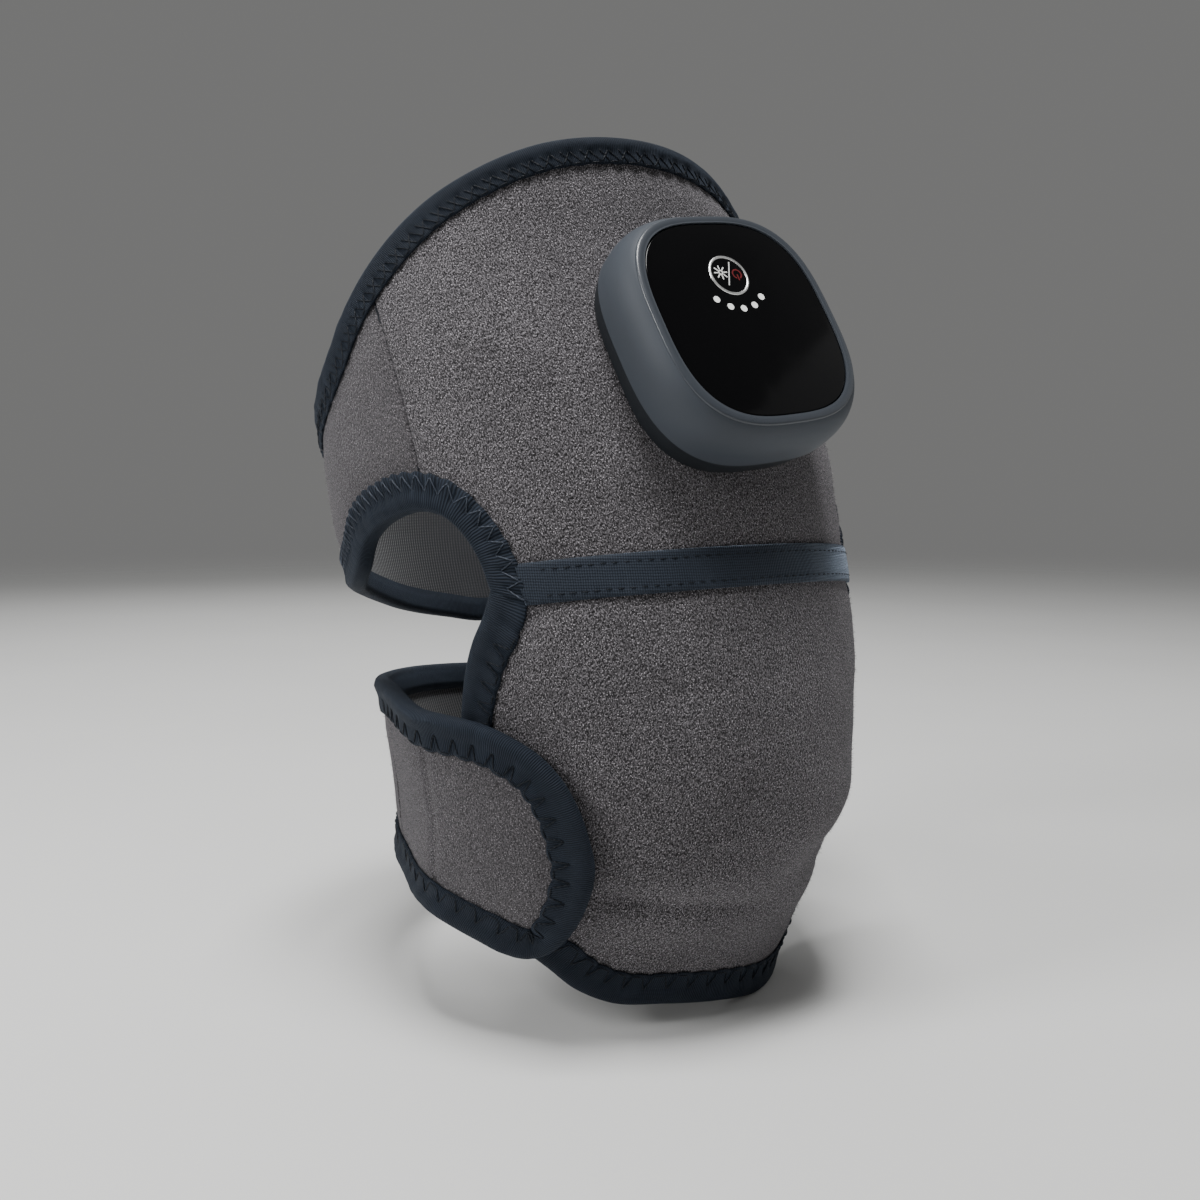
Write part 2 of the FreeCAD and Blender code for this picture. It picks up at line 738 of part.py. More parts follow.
def power_button():
    cap_radius = ring_radius - ring_width / 2 - sliding_gap
    cap_low = button_top() - button_cap_thickness + button_travel
    body = rod(0, button_height, cap_radius, cap_low, button_top())
    stem_low = -panel_thickness - deck_thickness - 2 * clip_thickness - 0.3
    body = body.fuse(rod(0, button_height, stem_radius, stem_low, cap_low))
    groove_high = -panel_thickness - deck_thickness - 0.05
    groove = rod(0, button_height, stem_radius + 1, groove_high - clip_thickness, groove_high)
    groove = groove.cut(rod(0, button_height, stem_radius - 0.6, groove_high - 2, groove_high + 1))
    return body.cut(groove)


def button_clip():
    high = -panel_thickness - deck_thickness - 0.05
    ring = rod(0, button_height, clip_radius, high - clip_thickness, high)
    return ring.cut(rod(0, button_height, stem_radius - 0.6, high - 2, high + 1))


def mark_bar(x, y, length, width, turn, low):
    bar = Part.makeBox(length, width, mark_thickness, V(-length / 2, -width / 2, 0))
    bar.Placement = FreeCAD.Placement(V(x, y, low), FreeCAD.Rotation(V(0, 0, 1), turn))
    return bar


def button_sun_mark():
    low = button_top()
    line = 0.062 * ring_radius
    x, y = -0.415 * ring_radius, button_height + 0.16 * ring_radius
    hub_radius = 0.105 * ring_radius
    ray_start, ray_end = 0.16 * ring_radius, 0.375 * ring_radius
    solids = [rod(x, y, hub_radius + line / 2, low, low + mark_thickness).cut(
        rod(x, y, hub_radius - line / 2, low - 1, low + 1))]
    for i in range(8):
        a = math.radians(45 * i)
        middle = (ray_start + ray_end) / 2
        solids.append(mark_bar(x + middle * math.cos(a), y + middle * math.sin(a),
                               ray_end - ray_start, line, 45 * i, low))
    foot, head = V(-0.25, -0.54, 0) * ring_radius, V(0.32, 0.70, 0) * ring_radius
    slash = head - foot
    centre = (head + foot) * 0.5
    turn = math.degrees(math.atan2(slash.y, slash.x))
    solids.append(mark_bar(centre.x, button_height + centre.y, slash.Length, 0.8 * line, turn, low))
    return Part.makeCompound(solids)


def button_power_mark():
    low = button_top()
    line = 0.07 * ring_radius
    x, y = 0.47 * ring_radius, button_height + 0.03 * ring_radius
    radius = 0.235 * ring_radius
    arc = rod(x, y, radius + line / 2, low, low + mark_thickness)
    arc = arc.cut(rod(x, y, radius - line / 2, low - 1, low + 1))
    arc = arc.cut(block(2.6 * line, 2 * radius, 2, x, y - radius, low - 1))
    return Part.makeCompound([arc, mark_bar(x, y - 0.75 * radius, 1.35 * radius, line, 90, low)])


def level_light_pipes():
    bottom = -board_depth + 1.1
    bar_high = -panel_thickness - deck_thickness - 0.1
    bar_low = bar_high - 1.2
    half = 1.5
    bar = rod(0, button_height, light_circle + half, bar_low, bar_high)
    bar = bar.cut(rod(0, button_height, light_circle - half, bar_low - 1, bar_high + 1))
    reach = light_circle + half
    lowest = light_circle * math.cos(math.radians(LIGHT_ANGLES[-1])) - half
    bar = bar.common(block(3 * reach, reach, 5, 0, button_height - lowest - reach / 2, bar_low - 1))
    for x, y in light_points():
        bar = bar.fuse(rod(x, y, light_radius, bottom, 0.02))
    return bar


def indicator_leds():
    return Part.makeCompound([block(2.0, 1.25, 0.8, x, y, -board_depth) for x, y in light_points()])


def main_circuit_board():
    low = -board_depth - board_thickness
    wire = rounded_square(board_half_width, board_half_height, low)
    board = Part.Face(wire).extrude(V(0, 0, board_thickness))
    for x, y in corner_posts():
        board = board.cut(rod(x, y, post_radius + 0.3, low - 1, -board_depth + 1))
    return board


def tactile_switch():
    stem_low = -panel_thickness - deck_thickness - 2 * clip_thickness - 0.3
    plunger_top = stem_low - button_travel - 0.1
    body_top = plunger_top - 0.6
    body = block(6.2, 6.2, body_top + board_depth, 0, button_height, -board_depth)
    return body.fuse(rod(0, button_height, 1.7, body_top, plunger_top))


def usb_c_socket():
    y_mouth = panel_half_height + FRONT_BULGE[-2][0] - 0.6
    shell = Part.makeBox(socket_width, socket_length, socket_height,
                         V(-socket_width / 2, y_mouth - socket_length, -board_depth))
    long_edges = [e for e in shell.Edges if abs(e.tangentAt(0).y) > 0.9]
    shell = shell.makeFillet(socket_height / 2 - 0.05, long_edges)
    lining = 0.35
    width, height = socket_width - 2 * lining, socket_height - 2 * lining
    cave = Part.makeBox(width, socket_length, height,
                        V(-width / 2, y_mouth - socket_length + 1.5, -board_depth + lining))
    cave = cave.makeFillet(height / 2 - 0.05, [e for e in cave.Edges if abs(e.tangentAt(0).y) > 0.9])
    tongue = Part.makeBox(6.7, socket_length - 1.5, 0.7,
                          V(-6.7 / 2, y_mouth - socket_length + 0.5, -board_depth + socket_height / 2 - 0.35))
    return shell.cut(cave).fuse(tongue)


def board_connectors():
    y = -board_half_height + 6.5
    return Part.makeCompound([block(6.0, 4.2, 2.6, x, y, -board_depth) for x in (-8.0, 8.0)])


def lithium_battery():
    low = -floor_depth + 0.1
    cell = block(battery_width, battery_height, battery_thickness, 0, 0, low)
    return cell.makeFillet(2.0, [e for e in cell.Edges if abs(e.tangentAt(0).z) > 0.9])


def housing_screws():
    seat = -floor_depth - 0.4
    screws = []
    for x, y in corner_posts():
        head = rod(x, y, screw_head_radius, seat - screw_head_height, seat)
        head = head.cut(block(0.5, 2.4, 1.2, x, y, seat - screw_head_height - 0.6))
        head = head.cut(block(2.4, 0.5, 1.2, x, y, seat - screw_head_height - 0.6))
        screws.append(head.fuse(rod(x, y, screw_radius, seat, -6.0)))
    return Part.makeCompound(screws)


def clamp_area(low, high, grow=0.0):
    """The clamp plate's outline cut through the cloth between two offsets."""
    reach = clamp_plate_half
    wire = rounded_square(reach.x + grow, reach.y + grow, -deep)
    return Part.Face(wire).extrude(V(0, 0, deep)).common(pod_leg_block(low, high))


def clamp_plate():
    high = cover_back
    plate = clamp_area(high - clamp_thickness, high)
    for x, y in clamp_points():
        plate = plate.cut(rod(x, y, clamp_screw_radius + 0.05, -deep, 0))
    return plate.cut(rod(grommet_x, grommet_y, grommet_radius + 0.05, -deep, 0))


def clamp_screws():
    seat = cover_back - clamp_thickness
    shell = pod_leg_block(seat - screw_head_height, seat)
    core = pod_leg_block(-deep, seat)
    screws = []
    for x, y in clamp_points():
        head = rod(x, y, clamp_head_radius, -deep, -post_split - screw_end_gap).common(shell)
        shank = rod(x, y, clamp_screw_radius, -deep, -post_split - screw_end_gap).cut(core)
        screws.append(head.fuse(shank))
    return Part.makeCompound(screws)


def cable_grommet():
    seat = cover_back - clamp_thickness
    tube = rod(grommet_x, grommet_y, grommet_radius, -deep, -floor_depth).cut(pod_leg_block(-deep, seat))
    return tube.cut(rod(grommet_x, grommet_y, cable_hole_radius, -deep, 0))


# ================================================================ vibration motors
def motor_placement(side):
    angle, height = side * motor_angle, motor_height
    centre = on_leg(angle, height, motor_top)
    step = 0.5
    around = on_leg(angle + step, height, motor_top) - on_leg(angle - step, height, motor_top)
    up = on_leg(angle, height + step, motor_top) - on_leg(angle, height - step, motor_top)
    out = up.cross(around).normalize()
    if out.y > 0:
        out = out * -1
    return FreeCAD.Placement(centre, FreeCAD.Rotation(V(1, 0, 0), up, out, "ZYX"))


def on_motor(shape, side):
    shape.Placement = motor_placement(side).multiply(shape.Placement)
    return shape


def motor_case(side):
    cup = rod(0, 0, motor_radius, -motor_thickness, -motor_wall)
    cup = cup.cut(rod(0, 0, motor_radius - motor_wall, -motor_thickness + motor_wall, 1))
    return on_motor(cup.fuse(rod(0, 0, motor_shaft_radius, -motor_thickness + 0.1, -motor_wall)), side)


def motor_lid(side):
    return on_motor(rod(0, 0, motor_radius, -motor_wall, 0), side)


def motor_rotor(side):
    high = -motor_wall - rotor_gap
    low = high - rotor_thickness
    weight = rod(0, 0, rotor_radius, low, high).cut(block(3 * rotor_radius, 2 * rotor_radius, 9, 0,
                                                          rotor_radius, -6))
    hub_radius = 2.4
    weight = weight.fuse(rod(0, 0, hub_radius, low, high))
    return on_motor(weight.cut(rod(0, 0, motor_shaft_radius + running_gap, low - 1, high + 1)), side)


def motor_pocket(side):
    return on_motor(rod(0, 0, motor_radius + layer_gap, -8, 8), side)


# ================================================================ wires in the wrap
def grommet_angle_height():
    """Where the grommet comes through the cloth, as an angle and a height."""
    point = POD.multVec(V(grommet_x, grommet_y, -floor_depth - 8))
    half_width = leg_form(point.z)[0]
    return -math.degrees(math.asin(point.x / half_width)), point.z


def cable_routes():
    """The flat cables' lines from the grommet to the heating film and to each motor."""
    angle, height = grommet_angle_height()
    start = height - grommet_radius - cable_end_gap
    routes = {"heater": [(angle, start - heater_cable_drop * share) for share in (0, 0.5, 1)]}
    for name, side in (("left", 1), ("right", -1)):
        stop = side * (motor_angle - motor_radius / mm_per_degree(motor_angle, motor_height) - 1.0)
        out = angle + side * cable_spread
        routes[name] = [(out, start), (out, start - 12), (out + side * 5, 10), (side * 0.55 * motor_angle, -12),
                        (side * 0.66 * motor_angle, motor_height + 3), (stop, motor_height)]
    return routes


def wire_harness():
    low = cable_offset - cable_thickness
    return Part.makeCompound([strip(points, cable_width, low, cable_offset)
                              for points in cable_routes().values()])


def cable_grooves():
    low = cable_offset - cable_thickness - layer_gap
    return [strip(points, cable_width + 2 * layer_gap, low, 1.0) for points in cable_routes().values()]


# ================================================================ wrap pieces
PANEL = panel_patch()


def sewn_between(height, low, high):
    """1 along a seam between two heights, and 0 past its ends, where the edge is bound."""
    return smooth_step(height, low, low + seam_start) * (1 - smooth_step(height, high - seam_start, high))


def left_margin(height):
    sewn_share = smooth_step(height, SEAM[0][1], SEAM[0][1] + seam_start)
    return fabric_margin + (seam_gap - fabric_margin) * sewn_share


def right_margin(height):
    sewn_share = sewn_between(height, STRAP_ROOT[-1][1], STRAP_ROOT[0][1])
    return left_margin(height) + (seam_gap - fabric_margin) * sewn_share


CLOTH = PANEL.drawn_in(bound, bound, right_margin, left_margin)


def padding(angle, height, start):
    """0 near the bound edge and 1 over the padded middle."""
    return smooth_step(PANEL.from_edge(angle, height), start, edge_fade)


def pod_cuts():
    """Holes through the cloth for the clamp screws and the grommet, in the wrap's frame."""
    cuts = [rod(x, y, clamp_screw_radius + 0.1, -deep, 0) for x, y in clamp_points()]
    cuts.append(rod(grommet_x, grommet_y, grommet_radius + 0.1, -deep, 0))
    return [on_pod(cut) for cut in cuts]


def outer_cover():
    return CLOTH.solid(level(-cover_thickness), level(0), 56, 64).cut(Part.makeCompound(pod_cuts()))


def lining_offset(part):
    def offset(angle, height):
        return part - strap_thickness - lining_depth * padding(angle, height, lining_fade)
    return offset


def lining():
    return CLOTH.solid(lining_offset(0), lining_offset(lining_thickness), 56, 64)


def foam_low(angle, height):
    return cover_back - foam_edge - foam_depth * padding(angle, height, foam_fade)


def foam_padding():
    area = PANEL.drawn_in(*(lambda height: foam_margin,) * 4)
    foam = area.solid(foam_low, level(cover_back), 52, 60)
    tools = [motor_pocket(side) for side in (1, -1)] + cable_grooves()
    seat = cover_back - clamp_thickness
    tools.append(on_pod(clamp_area(seat - layer_gap, 1, layer_gap)))
    for x, y in clamp_points():
        tools.append(on_pod(rod(x, y, clamp_head_radius + layer_gap, -deep, 0)))
    for tool in tools:
        foam = foam.cut(tool)
    return foam


def heating_film():
    high = cover_back - foam_edge - foam_depth - layer_gap
    area = PANEL.drawn_in(*(lambda height: film_margin,) * 4)
    return area.solid(level(high - film_thickness), level(high), 40, 44)


def knee_band():
    def middle(angle):
        return band_centre - band_drop * (angle / band_end) ** 2
    angles = [band_end * (i / 4 - 1) for i in range(9)]
    low = [(a, middle(a) - band_width / 2) for a in angles]
    high = [(a, middle(a) + band_width / 2) for a in angles]
    area = four_sided(low, high)
    return area.solid(level(binding_gap), level(binding_gap + band_thickness), 32, 3)


def strap_solid(patch, lift, start=all_across, end=to_the_end):
    middle = 0.5
    columns = max(8, round((end(middle) - start(middle)) * patch.width(middle) / strap_column))
    return patch.solid(lambda angle, height: lift(angle) - strap_thickness,
                       lambda angle, height: lift(angle), columns, 12, start, end)


def strap_lengths(patch, lift, folds):
    """The cloth of one strap as its three lengths, from its right end to its left end."""
    sides = [all_across]
    for hinge, frame in folds:
        for way in (-1, 1):
            sides.append(lambda v, hinge=hinge, frame=frame, way=way: (
                patch.fold_share(v, hinge, frame, lift) + way * seam_gap / patch.width(v)))
    sides.append(to_the_end)
    return [strap_solid(patch, lift, start, end) for start, end in zip(sides[::2], sides[1::2])]


def upper_wing():
    return strap_solid(wing_patch().drawn_in(bound, bound, bound, sewn), flat_lift)


def upper_tape():
    """One tape: left notch, cut-out, strap, round the tab, back over the front, wing, right notch."""
    low, top = upper_strap_edges()
    front = other_way(TOP_EDGE[:3]) + mirrored(TOP_EDGE[1:3])
    wing_low, wing_end_side, wing_top = (mirrored(points) for points in wing_edges())
    path = CUTOUT_SIDE + low[1:] + other_way(top) + front + wing_top + other_way(wing_end_side)[1:-1]
    return binding(path + other_way(wing_low) + mirrored(other_way(CUTOUT_SIDE))[1:], upper_lift)


def lower_tape():
    """One tape: right notch, strap, round the tab, back along the bottom edge, left notch."""
    low, top = lower_strap_edges()
    bottom = [(a + 360, h) for a, h in other_way(BOTTOM_EDGE)[1:-1]]
    path = whole_turn(mirrored(LOWER_SIDE[:4])) + ROOT_TOP_TURN + other_way(top)[1:] + low[:-1]
    path += ROOT_BOTTOM_TURN + bottom + whole_turn(other_way(LOWER_SIDE))
    return binding(path, lower_lift)


def probe(angle, height, lift):
    return on_leg(angle, height, lift(angle))


def upper_pieces():
    """The upper strap's three lengths of cloth, and its tape's five."""
    low, top = upper_strap_edges()
    strap = Patch(Outline(low), Outline(top), Outline(SEAM), Outline([low[-1], top[-1]]))
    folds = [(hinge, upper_fold(hinge)) for hinge in (upper_strap_hinge, upper_tab_hinge)]
    lengths = strap_lengths(strap.drawn_in(bound, bound, sewn, bound), upper_lift, folds)
    middle = (upper_strap_hinge + upper_tab_hinge) / 2
    middle_low, middle_top = (height_on(edge, fold(middle)) for edge in (STRAP_LOWER_EDGE, TOP_EDGE))
    tapes = split_at_folds(upper_tape(), [frame for hinge, frame in folds], [
        probe(*CUTOUT_SIDE[1], upper_lift), probe(middle, middle_low, upper_lift),
        probe(*UPPER_TAB_TOP[-1], upper_lift), probe(middle, middle_top, upper_lift),
        probe(*TOP_EDGE[0], upper_lift)])
    return lengths, tapes


def root_side():
    """The lower strap's root, from its bottom to its top, along the panel's own side."""
    side = Outline(LOWER_SIDE)
    steps = 200
    points = [side(i / steps) for i in range(steps + 1)]
    inner = [p for p in points[::4] if STRAP_ROOT[-1][1] + 1 < p[1] < STRAP_ROOT[0][1] - 1]
    return whole_turn(mirrored(other_way([STRAP_ROOT[0]] + inner + [STRAP_ROOT[-1]])))


def lower_pieces():
    """The lower strap's three lengths of cloth, and its tape's five."""
    low, top = lower_strap_edges()
    strap = Patch(Outline(low), Outline(top), Outline([low[0], top[0]]), Outline(root_side()))
    folds = [(hinge, lower_fold(hinge)) for hinge in (lower_tab_hinge, lower_strap_hinge)]
    lengths = strap_lengths(strap.drawn_in(bound, bound, bound, sewn), lower_lift, folds)
    middle = (lower_tab_hinge + lower_strap_hinge) / 2
    middle_low, middle_top = (height_on(edge, middle) for edge in (LOWER_STRAP_BOTTOM, LOWER_STRAP_TOP))
    tapes = split_at_folds(lower_tape(), [frame for hinge, frame in folds], [
        probe(360 - LOWER_SIDE[1][0], LOWER_SIDE[1][1], lower_lift), probe(middle, middle_top, lower_lift),
        probe(*LOWER_TAB_TOP[-1], lower_lift), probe(middle, middle_low, lower_lift),
        probe(*BOTTOM_EDGE[5], flat_lift)])
    return list(reversed(lengths)), tapes


def strap_nodes():
    lengths, tapes = upper_pieces()
    nodes = dict(zip(("upper_strap", "upper_strap_free_section", "upper_tab"), lengths))
    nodes["left_cutout_binding"] = tapes[0]
    nodes["upper_free_section_binding"] = Part.makeCompound([tapes[1], tapes[3]])
    nodes["upper_tab_binding"] = tapes[2]
    nodes["top_edge_binding"] = tapes[4]
    lengths, tapes = lower_pieces()
    nodes.update(zip(("lower_strap", "lower_strap_free_section", "lower_tab"), lengths))
    nodes["right_cutout_binding"] = tapes[0]
    nodes["lower_free_section_binding"] = Part.makeCompound([tapes[1], tapes[3]])
    nodes["lower_tab_binding"] = tapes[2]
    nodes["lower_edge_binding"] = tapes[4]
    return nodes


def hook_field(low, high, lift):
    outer = -strap_thickness - binding_gap
    return four_sided(low, high).solid(lambda angle, height: lift(angle) + outer - hook_thickness,
                                       lambda angle, height: lift(angle) + outer, 12, 12)


def lower_tab_hooks():
    return hook_field([(54, -83), (58, -83), (62, -82)], [(54, -53), (58, -49), (62, -46)], lower_lift)


def upper_tab_hooks():
    return hook_field([(259, 5), (265, 9.5), (271, 15)], [(259, 36), (265, 39.5), (271, 43)], upper_lift)


# ================================================================ the assembly
def pod_nodes():
    return {
        "front_housing": front_housing,
        "back_housing": back_housing,
        "touch_panel": touch_panel,
        "button_bezel_ring": button_bezel_ring,
        "power_button": power_button,
        "button_sun_mark": button_sun_mark,
        "button_power_mark": button_power_mark,
        "button_clip": button_clip,
        "level_light_pipes": level_light_pipes,
        "indicator_leds": indicator_leds,
        "main_circuit_board": main_circuit_board,
        "tactile_switch": tactile_switch,
        "usb_c_socket": usb_c_socket,
        "board_connectors": board_connectors,
        "lithium_battery": lithium_battery,
        "housing_screws": housing_screws,
        "clamp_plate": clamp_plate,
        "clamp_screws": clamp_screws,
        "cable_grommet": cable_grommet,
    }


def wrap_nodes():
    return {
        "outer_cover": outer_cover,
        "foam_padding": foam_padding,
        "heating_film": heating_film,
        "lining": lining,
        "wire_harness": wire_harness,
        "knee_band": knee_band,
        "upper_wing": upper_wing,
        "upper_tab_hooks": upper_tab_hooks,
        "lower_tab_hooks": lower_tab_hooks,
    }


def main():
    os.makedirs("parts", exist_ok=True)
    shapes = {name: on_pod(make()) for name, make in pod_nodes().items()}
    shapes.update({name: make() for name, make in wrap_nodes().items()})
    shapes.update(strap_nodes())
    for side, name in ((1, "left"), (-1, "right")):
        shapes[name + "_motor_case"] = motor_case(side)
        shapes[name + "_motor_lid"] = motor_lid(side)
        shapes[name + "_motor_rotor"] = motor_rotor(side)
    for name, shape in shapes.items():
        shape.exportStep("parts/" + name + ".step")
        print(name, "solids", len(shape.Solids), "valid", shape.isValid(), "volume", round(shape.Volume, 1))


main()
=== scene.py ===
import math

import bmesh
import bpy
import numpy as np
from mathutils import Matrix, Vector


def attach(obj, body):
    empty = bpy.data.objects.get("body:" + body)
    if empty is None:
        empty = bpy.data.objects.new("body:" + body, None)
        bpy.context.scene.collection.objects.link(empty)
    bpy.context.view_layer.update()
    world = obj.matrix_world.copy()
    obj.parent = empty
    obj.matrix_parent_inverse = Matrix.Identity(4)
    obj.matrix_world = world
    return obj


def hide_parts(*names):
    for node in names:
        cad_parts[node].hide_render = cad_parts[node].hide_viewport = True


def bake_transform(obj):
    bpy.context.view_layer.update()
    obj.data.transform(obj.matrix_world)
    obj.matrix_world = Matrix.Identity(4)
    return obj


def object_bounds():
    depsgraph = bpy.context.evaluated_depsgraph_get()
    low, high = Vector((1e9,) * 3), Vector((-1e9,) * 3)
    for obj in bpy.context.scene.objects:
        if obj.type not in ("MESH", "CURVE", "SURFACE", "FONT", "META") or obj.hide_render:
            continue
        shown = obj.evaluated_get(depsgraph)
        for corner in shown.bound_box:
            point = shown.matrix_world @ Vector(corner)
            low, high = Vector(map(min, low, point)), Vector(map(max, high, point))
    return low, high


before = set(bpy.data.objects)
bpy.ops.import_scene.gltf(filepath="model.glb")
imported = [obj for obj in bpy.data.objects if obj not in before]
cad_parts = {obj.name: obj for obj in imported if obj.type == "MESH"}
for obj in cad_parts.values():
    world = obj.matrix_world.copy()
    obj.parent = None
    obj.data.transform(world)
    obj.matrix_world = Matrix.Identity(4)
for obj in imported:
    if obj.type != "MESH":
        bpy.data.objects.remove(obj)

# Heated massage knee wrap: loop-cloth panel, bound edges, two straps with hook tabs, a knee band and a pod.
# Cloth is placed by (angle, height, offset): degrees from the front towards -X, height and offset in mm.
cad_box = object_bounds()
mm = 0.001

# ------------------------ the leg and the cloth's outlines
# height, half width, front depth, back depth
LEG_STATIONS = [
    (-149.0, 55.0, 58.0, 60.0), (-109.0, 57.5, 58.0, 57.0), (-69.0, 59.5, 77.5, 52.5),
    (-34.0, 64.5, 80.0, 56.5), (6.0, 71.0, 70.0, 67.5), (46.0, 72.0, 56.0, 78.5),
    (86.0, 71.0, 33.0, 90.5), (126.0, 69.5, 22.0, 102.5),
]
TOP_EDGE = [(0, 108.8), (23, 105.4), (45, 94.2), (70, 73), (93, 50.5), (112, 39), (140, 28), (180, 22)]
STRAP_LOWER_EDGE = [(66, 14.2), (77, 12), (84, 8.5), (91, 3), (98, -3.5), (105, -6.5), (114, -8.5),
                    (127, -11.5), (150, -18.5), (180, -25)]
CUTOUT_SIDE = [(55.5, -4.5), (56.3, 3), (59, 9.5), (62, 12.8), (66, 14.2)]
SEAM = [(66, 14.2), (67.5, 35), (69, 55), (70, 73)]
LOWER_SIDE = [(55.5, -4.5), (59, -11), (63, -17), (67.5, -26), (70.5, -35), (72.5, -48), (72, -62),
              (68, -76), (62, -87), (54, -94)]
BOTTOM_EDGE = [(54, -94), (46.5, -99), (39, -104.5), (30, -108.5), (15, -110.5), (0, -113),
               (-18, -116), (-32, -116), (-43, -112.5), (-51, -107), (-58.5, -96.5)]
FAR_LOWER_SIDE = LOWER_SIDE[:8] + [(63.8, -88), (58.5, -96.5)]
STRAP_ROOT = FAR_LOWER_SIDE[4:9]
ROOT_TOP_TURN = [(290.2, -30.0), (286.4, -33.4)]
ROOT_BOTTOM_TURN = [(297.2, -89.8), (301.5, -96.5)]
LOWER_STRAP_TOP = [(80, -35), (99, -32.5), (120, -34), (150, -36.5), (180, -39), (230, -38), (289.5, -35)]
LOWER_STRAP_BOTTOM = [(80, -87.5), (99, -85), (130, -82), (180, -81), (230, -83), (296.2, -88)]
LOWER_TAB_TOP = [(80, -35), (72, -35.3), (64, -36.3), (58, -38.8), (53, -42.3), (49, -47.5),
                 (46, -54.5), (44, -62), (42.8, -68)]
LOWER_TAB_BOTTOM = [(80, -87.5), (72, -89.3), (64, -91.5), (57, -93.8), (51.5, -94.3), (47.5, -92.5),
                    (45, -88.5), (43.5, -83), (42.8, -77)]
UPPER_TAB_TOP = [(246, 38), (254, 42), (262, 46.8), (268, 51), (273, 54), (277, 54.5), (280, 52),
                 (281.7, 46)]
UPPER_TAB_BOTTOM = [(246, -11.4), (254, -8), (262, -3), (268, 1.5), (273, 6), (277, 11.5), (280, 18),
                    (281.7, 26)]
WING_END, WING_CORNER = 104.0, 7.0

# ------------------------ cloth layers, in mm
CLOTH_INSET = 1.2
COVER, STRAP, LINING = 1.5, 3.0, 0.8
PADDING_LEVEL = -1.15       # the cover's outer face where creases press it onto the padding
LINING_DEPTH = 4.9
TAPE_FRONT = 8.5
MITRE, MITRE_REACH = (0.97, -0.23), 5.0     # the line that both tapes end on at a notch, and its reach
SEAM_LAP = 0.3              # how far a strap's cloth reaches past its seam
SEAM_GROOVE, FOLD_GROOVE, GROOVE_WIDTH = 0.6, 0.9, 0.9     # how deep and wide cloth sinks at a seam or fold
SEWN_INSET = 0.15           # how far in from its outline the panel's cloth ends at a seam
PANEL_WIDTH, PANEL_HEIGHT = 168.0, 200.0    # about, for turning mm into shares of the panel
DRAWN_TOP, DRAWN_BOTTOM = 2.8, 2.2          # how far tight binding draws the panel's far corners in
AROUND = 1.2                # mm per degree round the leg, about
ACROSS_STRAP = np.linspace(0.026, 0.974, 42)    # the rows of a strap's cloth, as shares of its width
STRAP_LIFT = 5.0
LOWER_TAB_FOLD, LOWER_STRAP_FOLD = 80.0, 132.0
UPPER_STRAP_FOLD, UPPER_TAB_FOLD = 210.0, 246.0
LOWER_JOIN, UPPER_JOIN = 106.0, 228.0       # where a strap's two lengths of cloth meet
BAND_END, BAND_CENTRE, BAND_DROP, BAND_WIDTH = 47.0, 1.0, 3.5, 9.5
BAND_SEWN = 0.62            # where its two rows of stitches lie, as a share of half its width

# ------------------------ pod
POD_CENTRE = Vector((-0.5, -67.5, 60.0)) * mm
POD_YAW, POD_PITCH, POD_ROLL = (math.radians(a) for a in (-6.0, 29.0, 8.0))
FACE_WIDTH, FACE_HEIGHT, FACE_SQUARENESS, FACE_THICKNESS = 24.9, 27.1, 2.95, 1.5
BUTTON_HEIGHT, RING_RADIUS, RING_WIDTH = 11.85, 5.3, 0.75
LIGHT_RADIUS, LIGHT_CIRCLE = 0.9, 9.5
LIGHT_ANGLES = (-46.5, -23.0, 0.0, 23.0, 46.5)
FOOT_GROW = 3.0             # how far the pod's foot reaches past its face


# ======================== curves on the leg
class Curve:
    """A smooth curve through values at rising stops: an array of places in, an array of values out."""

    def __init__(self, stops, values):
        self.stops = np.array(stops, float)
        self.values = np.array(values, float).reshape(len(stops), -1)
        steps = np.diff(self.values, axis=0) / np.diff(self.stops)[:, None]
        share = (np.diff(self.stops)[:-1] / (self.stops[2:] - self.stops[:-2]))[:, None]
        inner = steps[:-1] * (1 - share) + steps[1:] * share
        self.slopes = np.vstack([steps[:1], inner, steps[-1:]])

    def __call__(self, place):
        place = np.asarray(place, float)
        i = np.searchsorted(self.stops[1:-1], place)
        span = (self.stops[i + 1] - self.stops[i])[..., None]
        t = (place - self.stops[i])[..., None] / span
        t2, t3 = t * t, t * t * t
        return ((2 * t3 - 3 * t2 + 1) * self.values[i] + (t3 - 2 * t2 + t) * span * self.slopes[i]
                + (3 * t2 - 2 * t3) * self.values[i + 1] + (t3 - t2) * span * self.slopes[i + 1])


LEG = Curve([s[0] for s in LEG_STATIONS], [s[1:] for s in LEG_STATIONS])


def smooth_step(value, start, end):
    t = np.clip((np.asarray(value, float) - start) / (end - start), 0, 1)
    return t * t * (3 - 2 * t)


def hill(distance, width):
    """1 where a distance is 0, falling smoothly to 0 over about twice the width."""
    return np.exp(-(distance / width) ** 2)


def drawn_in(angle, height):
    """How far tight binding draws the panel in at the far end of its top and bottom edges, in mm."""
    far = -((angle + 180) % 360 - 180)
    top = np.interp(far, *zip(*TOP_EDGE))
    bottom = np.interp(-far, *zip(*reversed(BOTTOM_EDGE)))
    at_top = smooth_step(height, top - 13, top - 1) * smooth_step(far, -5, 35)
    at_bottom = (1 - smooth_step(height, bottom + 1, bottom + 13)) * smooth_step(far, 15, 40)
    return (DRAWN_TOP * at_top * (1 - smooth_step(far, 54, 68))
            + DRAWN_BOTTOM * at_bottom * (1 - smooth_step(far, 52, 64)))


